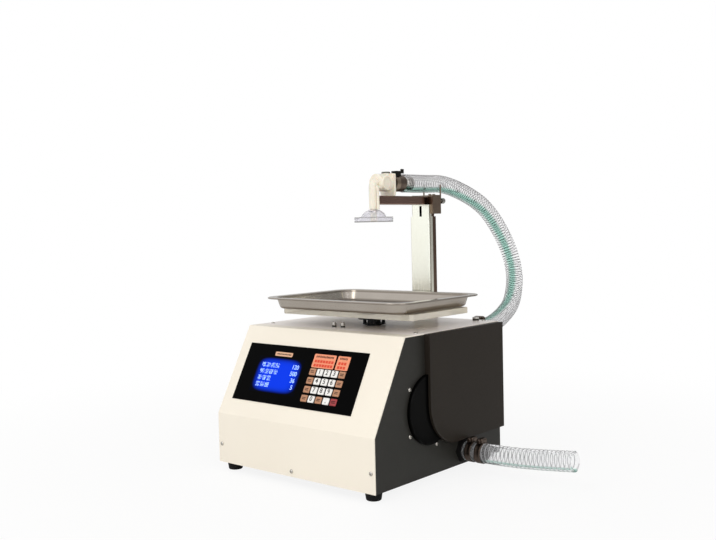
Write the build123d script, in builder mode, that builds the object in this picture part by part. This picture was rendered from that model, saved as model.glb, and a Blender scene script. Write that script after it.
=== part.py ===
from build123d import *
from math import acos, atan2, cos, degrees, hypot, pi, radians, sin, sqrt, tan
import os

os.makedirs("parts", exist_ok=True)

# A bench machine that pumps honey into a jar standing on a weighing tray.
# Millimetres. The origin is on the table below the middle of the cabinet.
# +Z is up, -Y is the front with the display, +X is the side with the pump.

# Driving sizes of the cabinet
cabinet_width = 300.0
cabinet_depth = 297.0
cabinet_height = 196.0
front_height = 72.7
slope_run = 67.8
sheet = 1.5
bend_radius = 2.5
flange_width = 14.0
pan_wall = 11.5
pan_notch = 0.5
panel_gap = 0.2
window_gap = 0.4
fold_gap = 2.0
foot_height = 12.0
foot_diameter = 24.0
foot_inset = 16.5
fit_gap = 0.3
screw_head_radius = 3.0
screw_head_height = 1.8
screw_shank_radius = 1.5
screw_hole_radius = 1.6
screw_edge = 6.5
screw_low_rise = 7.7
screw_high_rise = 27.0
deck_screw_side = 12.0
deck_screw_front = 37.7
deck_screw_rear = 10.5
rear_screw_inset = 18.0

# Driving sizes of the front panel, measured on the slope from the middle and the lower bend
overlay_width = 232.0
overlay_height = 88.6
overlay_middle_x = -15.0
overlay_middle_s = 68.7
overlay_thickness = 0.8
screen_width = 83.0
screen_height = 44.5
screen_x = -56.5
screen_s = 67.8
screen_frame = 6.0
display_depth = 7.7
key_columns = 5
key_rows = 4
key_pitch_x = 13.7
key_pitch_s = 13.07
key_block_x = 37.4
key_block_s = 58.9
key_width = 11.3
key_height = 9.8
key_proud = 1.0
key_travel = 0.6
key_gap = 0.25
key_lip = 0.7
key_lip_thickness = 1.0
key_stem_radius = 2.0
key_stem_length = 1.8
switch_side = 6.0
switch_height = 4.0
board_width = 198.0
board_height = 82.0
board_middle_x = -14.0
board_thickness = 1.6
standoff_radius = 3.0
board_edge = 4.0

# Driving sizes of the pump and its drive
pump_y = -30.0
pump_z = 104.0
pump_radius = 46.0
pump_length = 52.0
pump_flange_radius = 60.0
pump_flange_thickness = 4.0
end_plate_radius = 49.0
end_plate_thickness = 5.0
ring_screw_radius = 53.5
ring_screw_angle = 143.0
ring_screw_count = 5
gear_teeth = 14
gear_module = 2.0
gear_width = 22.0
gear_backlash = 0.12
gear_spread = 0.15
pressure_angle = 25.0
shaft_radius = 6.0
idler_shaft_radius = 5.0
running_gap = 0.05
gear_side_gap = 0.3
pump_boss_radius = 12.0
pump_boss_length = 4.0
gearbox_length = 58.0
gearbox_side = 80.0
motor_radius = 35.0
motor_length = 100.0
shaft_engagement = 36.0
motor_leg = 4.0

# Driving sizes of pipes and hoses
pipe_radius = 8.0
pipe_bore = 6.0
pipe_bend = 18.0
pipe_x = 133.0
suction_y = 48.0
suction_z = 32.0
outlet_x = 100.0
outlet_drop = 18.0
port_nut_radius = 15.0
port_nut_length = 7.0
barb_length = 31.0
barb_radius = 10.0
barb_bore = 7.5
barb_ridge = 0.2
hose_radius = 14.0
hose_bore = 10.3
hose_seat = 0.5
clamp_thickness = 0.7
clamp_gap = 0.15
clamp_width = 10.0
guard_front_y = -38.0
guard_low_z = 50.0
guard_depth = 9.0
guard_corner = 60.0
guard_top_gap = 1.0
guard_rear_gap = 2.5

# Driving sizes of the weighing deck
weigh_x = 18.0
weigh_y = 15.0
cell_length = 138.0
cell_width = 30.0
cell_height = 22.0
cell_drop = 20.0
cell_hole_radius = 6.5
cell_hole_pitch = 26.0
cell_slot_height = 6.0
cell_end = 20.0
pedestal_side = 30.0
pedestal_wall = 2.5
post_radius = 10.0
post_hole_radius = 13.0
collar_radius = 17.0
collar_gap = 1.5
collar_height = 1.5
hub_radius = 24.0
hub_thickness = 3.0
hub_lift = 6.5
leg_radius = 2.6
leg_ring = 14.0
leg_count = 4
spacer_radius = 16.0
platform_width = 247.0
platform_depth = 137.0
platform_thickness = 8.5
platform_lift = 17.5
platform_corner = 6.0
tray_width = 273.0
tray_depth = 200.0
tray_corner = 30.0
tray_rim = 11.0
tray_height = 17.4
tray_taper = 5.5
tray_wall = 0.8
tray_lip = 2.4
tray_shift_x = -5.0
tray_shift_y = 1.0
tray_seat = 0.2
stud_left_x = -9.7
stud_right_x = 7.1
stud_radius = 3.4
stud_height = 7.0
rear_stud_side = 28.0
rear_stud_inset = 18.5
rear_stud_radius = 5.0
rear_stud_height = 6.0

# Driving sizes of the mast, the arm and the filling head
mast_x = 21.5
column_inset = 19.5
column_width = 38.0
column_depth = 17.5
column_wall = 1.8
column_rise = 160.0
mast_gap = 0.2
mast_wall = 1.5
mast_overlap = 150.0
mast_slot_width = 4.5
mast_slot_length = 90.0
mast_slot_drop = 2.0
arm_width = 20.0
arm_height = 13.0
arm_wall = 1.5
arm_lift = 178.5
arm_front_y = 18.8
arm_overhang = 34.0
bracket_side = 3.5
bracket_step = 7.0
bracket_length = 23.0
bracket_drop = 14.5
bracket_cap = 2.0
bracket_screw_radius = 2.4
bracket_screw_height = 1.8
bracket_screw_x = 30.5
rest_wire_radius = 1.25
rest_wire_back = 3.5
rest_wire_x = 16.2
rest_wire_low_rise = 10.5
rest_wire_top_rise = 31.5
knob_x = 36.0
knob_rise = 5.8
knob_radius = 4.5
knob_length = 8.0
knob_shank_radius = 2.0
knob_standoff = 6.0
knob_depth = 10.0
head_rise = 32.8
body_radius = 13.0
body_front_y = 21.5
body_rear_y = 48.5
flange_side = 13.4
flange_above = 13.9
flange_thickness = 4.5
flange_corner = 3.0
spout_y = 15.5
spout_radius = 6.5
spout_bore = 4.0
spout_bend = 7.0
spout_drop = 6.5
notch_gap = 0.6
nozzle_radius = 5.2
nozzle_drop = 25.5
rod_x = 30.4
rod_radius = 2.1
rod_drop = 7.2
rod_lug_height = 4.0
boss_y = 46.0
boss_radius = 6.6
cap_thickness = 2.6
neck_radius = 11.0
neck_length = 2.9
union_radius = 13.0
union_length = 29.0
union_chamfer = 3.5
union_barb_length = 20.4
fly_width = 9.0
fly_gap = 0.1
fly_block_width = 10.0
fly_block_length = 11.0
fly_block_rise = 17.7
fly_shift_x = 7.0
fly_tab_width = 2.0
fly_tab_step = 20.0
fly_tab_length = 6.0
fly_tab_rise = 21.2
disc_radius = 28.75
disc_drop = 18.3
disc_thickness = 1.2
disc_rim_height = 7.5
bell_drop = 7.5
bell_profile = [(7.0, 0.0), (12.0, 2.4), (15.6, 5.4), (17.6, 8.4), (18.6, 10.8)]
nozzle_clearance = 0.1

# Places worked out from the sizes above
half_width = cabinet_width / 2
front_y = -cabinet_depth / 2
rear_y = cabinet_depth / 2
floor_z = foot_height
pan_top = floor_z + sheet
deck_z = floor_z + cabinet_height
bend_z = floor_z + front_height
crest_y = front_y + slope_run
slope_rise = deck_z - bend_z
slope_length = hypot(slope_run, slope_rise)
slope = Plane(origin=(0, front_y, bend_z), x_dir=(1, 0, 0), z_dir=(0, -slope_rise, slope_run))
inner_half = half_width - sheet
outlet_z = deck_z - outlet_drop
cell_top = deck_z - cell_drop
platform_low = deck_z + platform_lift
stud_y = crest_y + deck_screw_front
rear_stud_x = half_width - rear_stud_side
rear_stud_y = rear_y - rear_stud_inset
column_front_y = rear_y - column_inset
column_top = deck_z + column_rise
arm_low = deck_z + arm_lift
arm_top = arm_low + arm_height
arm_rear_y = column_front_y + arm_overhang
bracket_front_y = column_front_y + bracket_step
bracket_rear_y = bracket_front_y + bracket_length
bracket_low = arm_low - bracket_drop
bracket_top = arm_top + bracket_cap
knob_z = arm_low + knob_rise
head_z = arm_low + head_rise
flange_rear_y = body_rear_y + flange_thickness
union_front_y = flange_rear_y + neck_length
union_rear_y = union_front_y + union_length
spout_low = arm_low - spout_drop
nozzle_low = arm_low - nozzle_drop
disc_top = arm_low - disc_drop
bell_top = arm_low - bell_drop


def envelope(inset, low=floor_z, back=rear_y):
    """Side outline of the cabinet, moved inwards by inset, as points of Y and Z."""
    lean = inset * (1 - slope_rise / slope_length) / slope_run
    bend = bend_z - inset * slope_run / slope_length + lean * slope_rise
    tilt = inset * (slope_run / slope_length - 1) / slope_rise
    crest = crest_y + inset * slope_rise / slope_length + tilt * slope_run
    return [
        (front_y + inset, low),
        (front_y + inset, bend),
        (crest, deck_z - inset),
        (back, deck_z - inset),
        (back, low),
    ]


# Screw places: front face as X and Z, deck as X and Y, pump ring as Y and Z
screw_low = floor_z + screw_low_rise
screw_high = floor_z + screw_high_rise
front_screws = [
    (-half_width + screw_edge, screw_high),
    (half_width - screw_edge, screw_high),
    (0.0, screw_low),
]
deck_screws = [
    (-half_width + deck_screw_side, crest_y + deck_screw_front),
    (half_width - deck_screw_side, crest_y + deck_screw_front + 2.0),
    (-half_width + deck_screw_side, rear_y - deck_screw_rear),
    (half_width - deck_screw_side - 7.0, rear_y - deck_screw_rear),
]
rear_screws = [
    (x, z)
    for x in (-half_width + screw_edge, half_width - screw_edge)
    for z in (floor_z + rear_screw_inset, deck_z - rear_screw_inset)
]
ring_screws = [
    (
        pump_y + ring_screw_radius * cos(radians(ring_screw_angle + k * 360 / ring_screw_count)),
        pump_z + ring_screw_radius * sin(radians(ring_screw_angle + k * 360 / ring_screw_count)),
    )
    for k in range(ring_screw_count)
]
column_middle_y = column_front_y + column_depth / 2

# Cabinet

with BuildPart() as front_top_cover:
    with BuildSketch(Plane.YZ):
        Polygon(*envelope(0), align=None)
        Polygon(*envelope(sheet, low=floor_z - 1, back=rear_y + 1), align=None, mode=Mode.SUBTRACT)
    extrude(amount=half_width, both=True)
    long_edges = front_top_cover.edges().filter_by(Axis.X)
    outer_bends = [
        edge
        for edge in long_edges
        for y, z in envelope(0)[1:3]
        if hypot(edge.center().Y - y, edge.center().Z - z) < 0.01
    ]
    inner_bends = [
        edge
        for edge in long_edges
        for y, z in envelope(sheet)[1:3]
        if hypot(edge.center().Y - y, edge.center().Z - z) < 0.01
    ]
    fillet(outer_bends, bend_radius)
    fillet(inner_bends, bend_radius - sheet)
    with BuildSketch(slope):
        with Locations((screen_x, screen_s)):
            Rectangle(screen_width + 2 * window_gap, screen_height + 2 * window_gap)
        with Locations((key_block_x, key_block_s)):
            with GridLocations(key_pitch_x, key_pitch_s, key_columns, key_rows):
                Rectangle(key_width + 2 * key_gap, key_height + 2 * key_gap)
    extrude(amount=-2 * sheet, mode=Mode.SUBTRACT)
    with BuildSketch(Plane.XY.offset(deck_z)):
        with Locations((mast_x, column_middle_y)):
            Rectangle(column_width + 2 * fit_gap, column_depth + 2 * fit_gap)
        with Locations((weigh_x, weigh_y)):
            Circle(post_hole_radius)
        with Locations(*deck_screws):
            Circle(screw_hole_radius)
    extrude(amount=-2 * sheet, mode=Mode.SUBTRACT)
    with BuildSketch(Plane.XZ.offset(-front_y)):
        with Locations(*front_screws):
            Circle(screw_hole_radius)
    extrude(amount=-2 * sheet, mode=Mode.SUBTRACT)
front_top_cover.part.label = "front_top_cover"
export_step(front_top_cover.part, "parts/front_top_cover.step")

flange_low = floor_z + pan_wall + fold_gap
with BuildPart() as left_side_panel:
    with BuildSketch(Plane.YZ.offset(-half_width)):
        Polygon(*envelope(sheet + panel_gap), align=None)
    extrude(amount=sheet)
    with BuildSketch(Plane.YZ.offset(-inner_half)):
        Polygon(*envelope(sheet + panel_gap, flange_low, rear_y - sheet), align=None)
        Polygon(*envelope(2 * sheet + panel_gap, floor_z, rear_y + 1), align=None, mode=Mode.SUBTRACT)
    extrude(amount=flange_width)
left_side_panel.part.label = "left_side_panel"
export_step(left_side_panel.part, "parts/left_side_panel.step")

with BuildPart() as right_side_panel:
    with BuildSketch(Plane.YZ.offset(inner_half)):
        Polygon(*envelope(sheet + panel_gap), align=None)
        with Locations((pump_y, pump_z)):
            Circle(pump_radius + fit_gap, mode=Mode.SUBTRACT)
        with Locations((suction_y, suction_z)):
            Circle(pipe_radius + fit_gap, mode=Mode.SUBTRACT)
        with Locations(*ring_screws):
            Circle(screw_hole_radius, mode=Mode.SUBTRACT)
    extrude(amount=sheet)
    with BuildSketch(Plane.YZ.offset(inner_half)):
        Polygon(*envelope(sheet + panel_gap, flange_low, rear_y - sheet), align=None)
        Polygon(*envelope(2 * sheet + panel_gap, floor_z, rear_y + 1), align=None, mode=Mode.SUBTRACT)
    extrude(amount=-flange_width)
right_side_panel.part.label = "right_side_panel"
export_step(right_side_panel.part, "parts/right_side_panel.step")

# The pan carries the feet, the power supply, the mast and the load cell's pedestal
pedestal_x = weigh_x + cell_end - cell_length
pedestal_top = cell_top - cell_height
with BuildPart() as base_pan:
    with Locations((0, 0, floor_z)):
        Box(
            2 * inner_half,
            cabinet_depth - 2 * sheet,
            pan_wall,
            align=(Align.CENTER, Align.CENTER, Align.MIN),
        )
    with Locations((0, 0, pan_top)):
        Box(
            2 * inner_half - 2 * sheet,
            cabinet_depth - 4 * sheet,
            pan_wall,
            align=(Align.CENTER, Align.CENTER, Align.MIN),
            mode=Mode.SUBTRACT,
        )
    with Locations((mast_x, column_front_y - pan_notch, pan_top)):
        Box(
            column_width + 2 * pan_notch,
            column_depth + 2 * pan_notch,
            pan_wall,
            align=(Align.CENTER, Align.MIN, Align.MIN),
            mode=Mode.SUBTRACT,
        )
    with BuildSketch(Plane.XY.offset(pan_top)):
        with Locations((pedestal_x, weigh_y)):
            Rectangle(pedestal_side, cell_width, align=(Align.MIN, Align.CENTER))
        with Locations((pedestal_x - pedestal_wall, weigh_y)):
            Rectangle(
                pedestal_side,
                cell_width - 2 * pedestal_wall,
                align=(Align.MIN, Align.CENTER),
                mode=Mode.SUBTRACT,
            )
    extrude(amount=pedestal_top - pan_top)
    with BuildSketch(Plane.XY.offset(pedestal_top)):
        with Locations((pedestal_x, weigh_y)):
            Rectangle(pedestal_side, cell_width, align=(Align.MIN, Align.CENTER))
    extrude(amount=-pedestal_wall)
base_pan.part.label = "base_pan"
export_step(base_pan.part, "parts/base_pan.step")

inlet_x = -105.0
inlet_z = 66.0
inlet_width = 48.0
inlet_height = 62.0
inlet_flange = 2.5
module_width = 28.0
module_height = 48.0
module_depth = 24.0
vent_length = 26.0
vent_width = 3.0
vent_pitch = 9.0
vent_rows = 8
vent_x = 30.0
vent_z = 96.0
with BuildPart() as rear_panel:
    with BuildSketch(Plane.XZ.offset(-rear_y)):
        with Locations((0, floor_z)):
            Rectangle(2 * inner_half, cabinet_height - sheet, align=(Align.CENTER, Align.MIN))
        with Locations((inlet_x, inlet_z)):
            Rectangle(module_width + 2 * fit_gap, module_height + 2 * fit_gap, mode=Mode.SUBTRACT)
        with Locations((outlet_x, outlet_z)):
            Circle(pipe_radius + fit_gap, mode=Mode.SUBTRACT)
        with Locations((vent_x, vent_z)):
            with GridLocations(vent_length + vent_pitch, vent_pitch, 2, vent_rows):
                SlotOverall(vent_length, vent_width, mode=Mode.SUBTRACT)
        with Locations(*rear_screws):
            Circle(screw_hole_radius, mode=Mode.SUBTRACT)
    extrude(amount=sheet)
rear_panel.part.label = "rear_panel"
export_step(rear_panel.part, "parts/rear_panel.step")

foot_x = half_width - foot_inset
foot_y = cabinet_depth / 2 - foot_inset
foot_taper = 2.0
foot_round = 1.5
with BuildPart() as rubber_feet:
    with GridLocations(2 * foot_x, 2 * foot_y, 2, 2):
        Cone(
            foot_diameter / 2 - foot_taper,
            foot_diameter / 2,
            foot_height,
            align=(Align.CENTER, Align.CENTER, Align.MIN),
        )
    fillet(rubber_feet.edges().filter_by(GeomType.CIRCLE).group_by(Axis.Z)[0], foot_round)
rubber_feet.part.label = "rubber_feet"
export_step(rubber_feet.part, "parts/rubber_feet.step")

# Front panel

with BuildPart() as front_overlay:
    with BuildSketch(slope):
        with Locations((overlay_middle_x, overlay_middle_s)):
            Rectangle(overlay_width, overlay_height)
        with Locations((screen_x, screen_s)):
            Rectangle(
                screen_width + 2 * window_gap,
                screen_height + 2 * window_gap,
                mode=Mode.SUBTRACT,
            )
        with Locations((key_block_x, key_block_s)):
            with GridLocations(key_pitch_x, key_pitch_s, key_columns, key_rows):
                Rectangle(key_width + 2 * key_gap, key_height + 2 * key_gap, mode=Mode.SUBTRACT)
    extrude(amount=overlay_thickness)
front_overlay.part.label = "front_overlay"
export_step(front_overlay.part, "parts/front_overlay.step")

frame_width = screen_width + 2 * screen_frame
frame_height = screen_height + 2 * screen_frame
glass_rise = 0.5
with BuildPart() as display_module:
    with BuildSketch(slope.offset(-sheet)):
        with Locations((screen_x, screen_s)):
            Rectangle(frame_width, frame_height)
    extrude(amount=-display_depth)
    with BuildSketch(slope.offset(-sheet)):
        with Locations((screen_x, screen_s)):
            Rectangle(screen_width, screen_height)
    extrude(amount=sheet + glass_rise)
display_module.part.label = "display_module"
export_step(display_module.part, "parts/display_module.step")

# Levels below the slope's outer face
lip_top = sheet + fit_gap / 2
lip_low = lip_top + key_lip_thickness
stem_low = lip_low + key_stem_length
switch_top = stem_low + key_travel + fit_gap / 2
board_top = switch_top + switch_height
# Each component as X and S from the board's middle, width, depth and height
chip_sizes = [
    (-70.0, 0.0, 44.0, 30.0, 12.0),
    (-10.0, 8.0, 26.0, 26.0, 6.0),
    (45.0, -12.0, 30.0, 22.0, 14.0),
]
with BuildPart() as control_board:
    with BuildSketch(slope.offset(-board_top)):
        with Locations((board_middle_x, screen_s)):
            Rectangle(board_width, board_height)
    extrude(amount=-board_thickness)
    with BuildSketch(slope.offset(-board_top)):
        with Locations((board_middle_x, screen_s)):
            with GridLocations(board_width - 2 * board_edge, board_height - 2 * board_edge, 2, 2):
                Circle(standoff_radius)
    extrude(amount=board_top - sheet)
    with BuildSketch(slope.offset(-board_top)):
        with Locations((key_block_x, key_block_s)):
            with GridLocations(key_pitch_x, key_pitch_s, key_columns, key_rows):
                Rectangle(switch_side, switch_side)
    extrude(amount=switch_height)
    for chip_x, chip_s, chip_width, chip_depth, chip_height in chip_sizes:
        with BuildSketch(slope.offset(-board_top - board_thickness)):
            with Locations((board_middle_x + chip_x, screen_s + chip_s)):
                Rectangle(chip_width, chip_depth)
        extrude(amount=-chip_height)
control_board.part.label = "control_board"
export_step(control_board.part, "parts/control_board.step")

for row in range(key_rows):
    for column in range(key_columns):
        key_x = key_block_x + (column - (key_columns - 1) / 2) * key_pitch_x
        key_s = key_block_s - (row - (key_rows - 1) / 2) * key_pitch_s
        with BuildPart() as key:
            with BuildSketch(slope.offset(-lip_top)):
                with Locations((key_x, key_s)):
                    RectangleRounded(key_width, key_height, 1.0)
            extrude(amount=lip_top + overlay_thickness + key_proud)
            with BuildSketch(slope.offset(-lip_low)):
                with Locations((key_x, key_s)):
                    Rectangle(key_width + 2 * key_lip, key_height + 2 * key_lip)
            extrude(amount=key_lip_thickness)
            with BuildSketch(slope.offset(-stem_low)):
                with Locations((key_x, key_s)):
                    Circle(key_stem_radius)
            extrude(amount=key_stem_length)
        key_name = f"key_{row + 1}_{column + 1}"
        key.part.label = key_name
        export_step(key.part, f"parts/{key_name}.step")

# Electrical pieces at the rear

supply_width = 110.0
supply_depth = 78.0
supply_height = 38.0
supply_x = -80.0
supply_inset = 72.5
supply_y = rear_y - supply_inset
with BuildPart() as power_supply:
    with Locations((supply_x, supply_y, pan_top)):
        Box(
            supply_width,
            supply_depth,
            supply_height,
            align=(Align.CENTER, Align.CENTER, Align.MIN),
        )
    chamfer(power_supply.faces().sort_by(Axis.Z)[-1].edges(), 1.5)
power_supply.part.label = "power_supply"
export_step(power_supply.part, "parts/power_supply.step")

# One module holds the inlet below and the rocker above
rocker_width = 12.8
rocker_length = 19.0
rocker_depth = 9.0
rocker_tilt = 10.0
rocker_rise = 12.0
rocker_z = inlet_z + rocker_rise
rocker_y = rear_y + inlet_flange - 2.0
pocket_gap = 1.4
pin_inlet_width = 22.0
pin_inlet_height = 15.0
pin_inlet_depth = 14.0
pin_inlet_z = inlet_z - 11.0
blade_width = 4.0
blade_thickness = 1.8
blade_length = 11.0
blade_pitch = 7.0
with BuildPart() as mains_inlet:
    with BuildSketch(Plane.XZ.offset(-rear_y)):
        with Locations((inlet_x, inlet_z)):
            RectangleRounded(inlet_width, inlet_height, 3.0)
    extrude(amount=-inlet_flange)
    with BuildSketch(Plane.XZ.offset(-rear_y)):
        with Locations((inlet_x, inlet_z)):
            Rectangle(module_width, module_height)
    extrude(amount=module_depth)
    with BuildSketch(Plane.XZ.offset(-rear_y - inlet_flange)):
        with Locations((inlet_x, pin_inlet_z)):
            Rectangle(pin_inlet_width, pin_inlet_height)
    extrude(amount=pin_inlet_depth + inlet_flange, mode=Mode.SUBTRACT)
    with BuildSketch(Plane.XZ.offset(-rear_y - inlet_flange)):
        with Locations((inlet_x, rocker_z)):
            Rectangle(rocker_width + 2 * fit_gap, rocker_length + 2 * pocket_gap)
    extrude(amount=rocker_depth + inlet_flange + 2 * pocket_gap, mode=Mode.SUBTRACT)
    with BuildSketch(Plane.XZ.offset(-rear_y + pin_inlet_depth)):
        with Locations((inlet_x - blade_pitch, pin_inlet_z), (inlet_x + blade_pitch, pin_inlet_z)):
            Rectangle(blade_thickness, blade_width)
        with Locations((inlet_x, pin_inlet_z + blade_width)):
            Rectangle(blade_thickness, blade_width)
    extrude(amount=-blade_length)
mains_inlet.part.label = "mains_inlet"
export_step(mains_inlet.part, "parts/mains_inlet.step")

rocker_frame = Plane(
    origin=(inlet_x, rocker_y - rocker_depth / 2, rocker_z),
    x_dir=(1, 0, 0),
    z_dir=(0, cos(radians(rocker_tilt)), sin(radians(rocker_tilt))),
)
with BuildPart() as power_switch:
    with BuildSketch(rocker_frame.offset(-rocker_depth / 2)):
        Rectangle(rocker_width, rocker_length)
    extrude(amount=rocker_depth)
    fillet(power_switch.edges().filter_by(Axis.X), 1.2)
power_switch.part.label = "power_switch"
export_step(power_switch.part, "parts/power_switch.step")

# Gear pump, turned by the motor

pitch_radius = gear_module * gear_teeth / 2
tip_radius = pitch_radius + 0.9 * gear_module
root_radius = pitch_radius - 1.2 * gear_module
base_radius = pitch_radius * cos(radians(pressure_angle))
centre_distance = 2 * pitch_radius + gear_spread
drive_z = pump_z - centre_distance / 2
idler_z = pump_z + centre_distance / 2
flank_steps = 6


def involute_angle(radius):
    """Polar angle in radians of the involute at this radius."""
    roll = acos(min(1.0, base_radius / radius))
    return tan(roll) - roll


def gear_outline(first_tooth):
    """Closed outline of the gear, with a tooth centred at first_tooth degrees."""
    half_tooth = (pi * gear_module / 2 - gear_backlash) / (2 * pitch_radius)
    half_base = half_tooth + involute_angle(pitch_radius)
    low = max(root_radius, base_radius)
    radii = [low + (tip_radius - low) * k / flank_steps for k in range(flank_steps + 1)]
    points = []
    for tooth in range(gear_teeth):
        middle = radians(first_tooth) + 2 * pi * tooth / gear_teeth
        rising = [(root_radius, -half_base)] + [(r, involute_angle(r) - half_base) for r in radii]
        for radius, angle in rising + [(r, -a) for r, a in reversed(rising)]:
            points.append((radius * cos(middle + angle), radius * sin(middle + angle)))
    return points


gear_back_x = half_width - gear_side_gap - gear_width
cavity_depth = gear_width + 2 * gear_side_gap
pump_back_x = half_width - pump_length
gearbox_back_x = pump_back_x - gearbox_length
idler_shaft_length = 16.0
with BuildPart() as drive_gear:
    with BuildSketch(Plane.YZ.offset(gear_back_x)):
        with Locations((pump_y, drive_z)):
            Polygon(*gear_outline(90.0), align=None)
    extrude(amount=gear_width)
    with BuildSketch(Plane.YZ.offset(gear_back_x)):
        with Locations((pump_y, drive_z)):
            Circle(shaft_radius)
    extrude(amount=-(gear_back_x - pump_back_x + shaft_engagement))
drive_gear.part.label = "drive_gear"
export_step(drive_gear.part, "parts/drive_gear.step")

with BuildPart() as idler_gear:
    with BuildSketch(Plane.YZ.offset(gear_back_x)):
        with Locations((pump_y, idler_z)):
            Polygon(*gear_outline(-90.0 + 180.0 / gear_teeth), align=None)
    extrude(amount=gear_width)
    with BuildSketch(Plane.YZ.offset(gear_back_x)):
        with Locations((pump_y, idler_z)):
            Circle(idler_shaft_radius)
    extrude(amount=-idler_shaft_length)
idler_gear.part.label = "idler_gear"
export_step(idler_gear.part, "parts/idler_gear.step")

boss_reach = pump_radius + pump_boss_length
with BuildPart() as pump_housing:
    with BuildSketch(Plane.YZ.offset(pump_back_x)):
        with Locations((pump_y, pump_z)):
            Circle(pump_radius)
    extrude(amount=pump_length)
    with BuildSketch(Plane.YZ.offset(inner_half)):
        with Locations((pump_y, pump_z)):
            Circle(pump_flange_radius)
    extrude(amount=-pump_flange_thickness)
    with BuildSketch(Plane.XY.offset(pump_z - boss_reach)):
        with Locations((pipe_x, pump_y)):
            Circle(pump_boss_radius)
    extrude(amount=2 * boss_reach)
    with BuildSketch(Plane.YZ.offset(half_width)):
        with Locations((pump_y, drive_z), (pump_y, idler_z)):
            Circle(tip_radius + fit_gap / 2)
    extrude(amount=-cavity_depth, mode=Mode.SUBTRACT)
    with BuildSketch(Plane.YZ.offset(half_width)):
        with Locations((pump_y, drive_z)):
            Circle(shaft_radius + running_gap)
    extrude(amount=-pump_length, mode=Mode.SUBTRACT)
    with BuildSketch(Plane.YZ.offset(half_width - cavity_depth)):
        with Locations((pump_y, idler_z)):
            Circle(idler_shaft_radius + running_gap)
    extrude(amount=-idler_shaft_length, mode=Mode.SUBTRACT)
    with BuildSketch(Plane.XY.offset(pump_z - boss_reach)):
        with Locations((pipe_x, pump_y)):
            Circle(pipe_bore)
    extrude(amount=2 * boss_reach, mode=Mode.SUBTRACT)
pump_housing.part.label = "pump_housing"
export_step(pump_housing.part, "parts/pump_housing.step")

with BuildPart() as pump_end_plate:
    with BuildSketch(Plane.YZ.offset(half_width)):
        with Locations((pump_y, pump_z)):
            Circle(end_plate_radius)
    extrude(amount=end_plate_thickness)
    chamfer(pump_end_plate.faces().sort_by(Axis.X)[-1].edges(), 1.0)
pump_end_plate.part.label = "pump_end_plate"
export_step(pump_end_plate.part, "parts/pump_end_plate.step")

leg_width = 60.0
with BuildPart() as gear_motor:
    with BuildSketch(Plane.YZ.offset(pump_back_x)):
        with Locations((pump_y, drive_z)):
            RectangleRounded(gearbox_side, gearbox_side, 6.0)
    extrude(amount=-gearbox_length)
    with BuildSketch(Plane.YZ.offset(gearbox_back_x)):
        with Locations((pump_y, drive_z)):
            Circle(motor_radius)
    extrude(amount=-motor_length)
    with BuildSketch(Plane.YZ.offset(pump_back_x)):
        with Locations((pump_y, drive_z)):
            Circle(shaft_radius + running_gap)
    extrude(amount=-(shaft_engagement + gear_side_gap), mode=Mode.SUBTRACT)
    for leg_x in (pump_back_x - 2 * motor_leg, gearbox_back_x + motor_leg):
        with BuildSketch(Plane.XY.offset(pan_top)):
            with Locations((leg_x, pump_y)):
                Rectangle(motor_leg, leg_width)
        extrude(amount=drive_z - gearbox_side / 2 - pan_top)
gear_motor.part.label = "gear_motor"
export_step(gear_motor.part, "parts/gear_motor.step")

# Pipes from the pump to the two hose barbs


def ribbed_outline(length):
    """Half section of a barb, as points of radius and distance along its axis."""
    pitch = length / 4
    points = [(barb_bore, 0.0), (barb_radius, 0.0)]
    for ridge in range(4):
        start = ridge * pitch
        points.append((barb_radius, start + pitch / 3))
        points.append((barb_radius + barb_ridge, start + pitch / 3))
        points.append((barb_radius - 1.0, start + pitch))
        if ridge < 3:
            points.append((barb_radius, start + pitch))
    points.append((barb_bore, length))
    return points


suction_route = [
    (pipe_x, pump_y, pump_z - boss_reach),
    (pipe_x, pump_y, suction_z),
    (pipe_x, suction_y, suction_z),
    (half_width, suction_y, suction_z),
]
suction_bend = half_width - pipe_x - 1.0
suction_barb = Plane(
    origin=(half_width + port_nut_length, suction_y, suction_z), x_dir=(0, 1, 0), z_dir=(1, 0, 0)
)
with BuildPart() as suction_port:
    with BuildLine():
        FilletPolyline(*suction_route, radius=suction_bend)
    with BuildSketch(Plane(origin=suction_route[0], z_dir=(0, 0, -1))):
        Circle(pipe_radius)
        Circle(pipe_bore, mode=Mode.SUBTRACT)
    sweep()
    with BuildSketch(Plane.YZ.offset(half_width)):
        with Locations((suction_y, suction_z)):
            RegularPolygon(port_nut_radius, 6, major_radius=False)
            Circle(pipe_bore, mode=Mode.SUBTRACT)
    extrude(amount=port_nut_length)
    with BuildSketch(Plane(origin=suction_barb.origin, x_dir=(0, 1, 0), z_dir=(0, 0, -1))):
        Polygon(*ribbed_outline(barb_length), align=None)
    revolve(axis=Axis(suction_barb.origin, (1, 0, 0)))
suction_port.part.label = "suction_port"
export_step(suction_port.part, "parts/suction_port.step")

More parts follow.
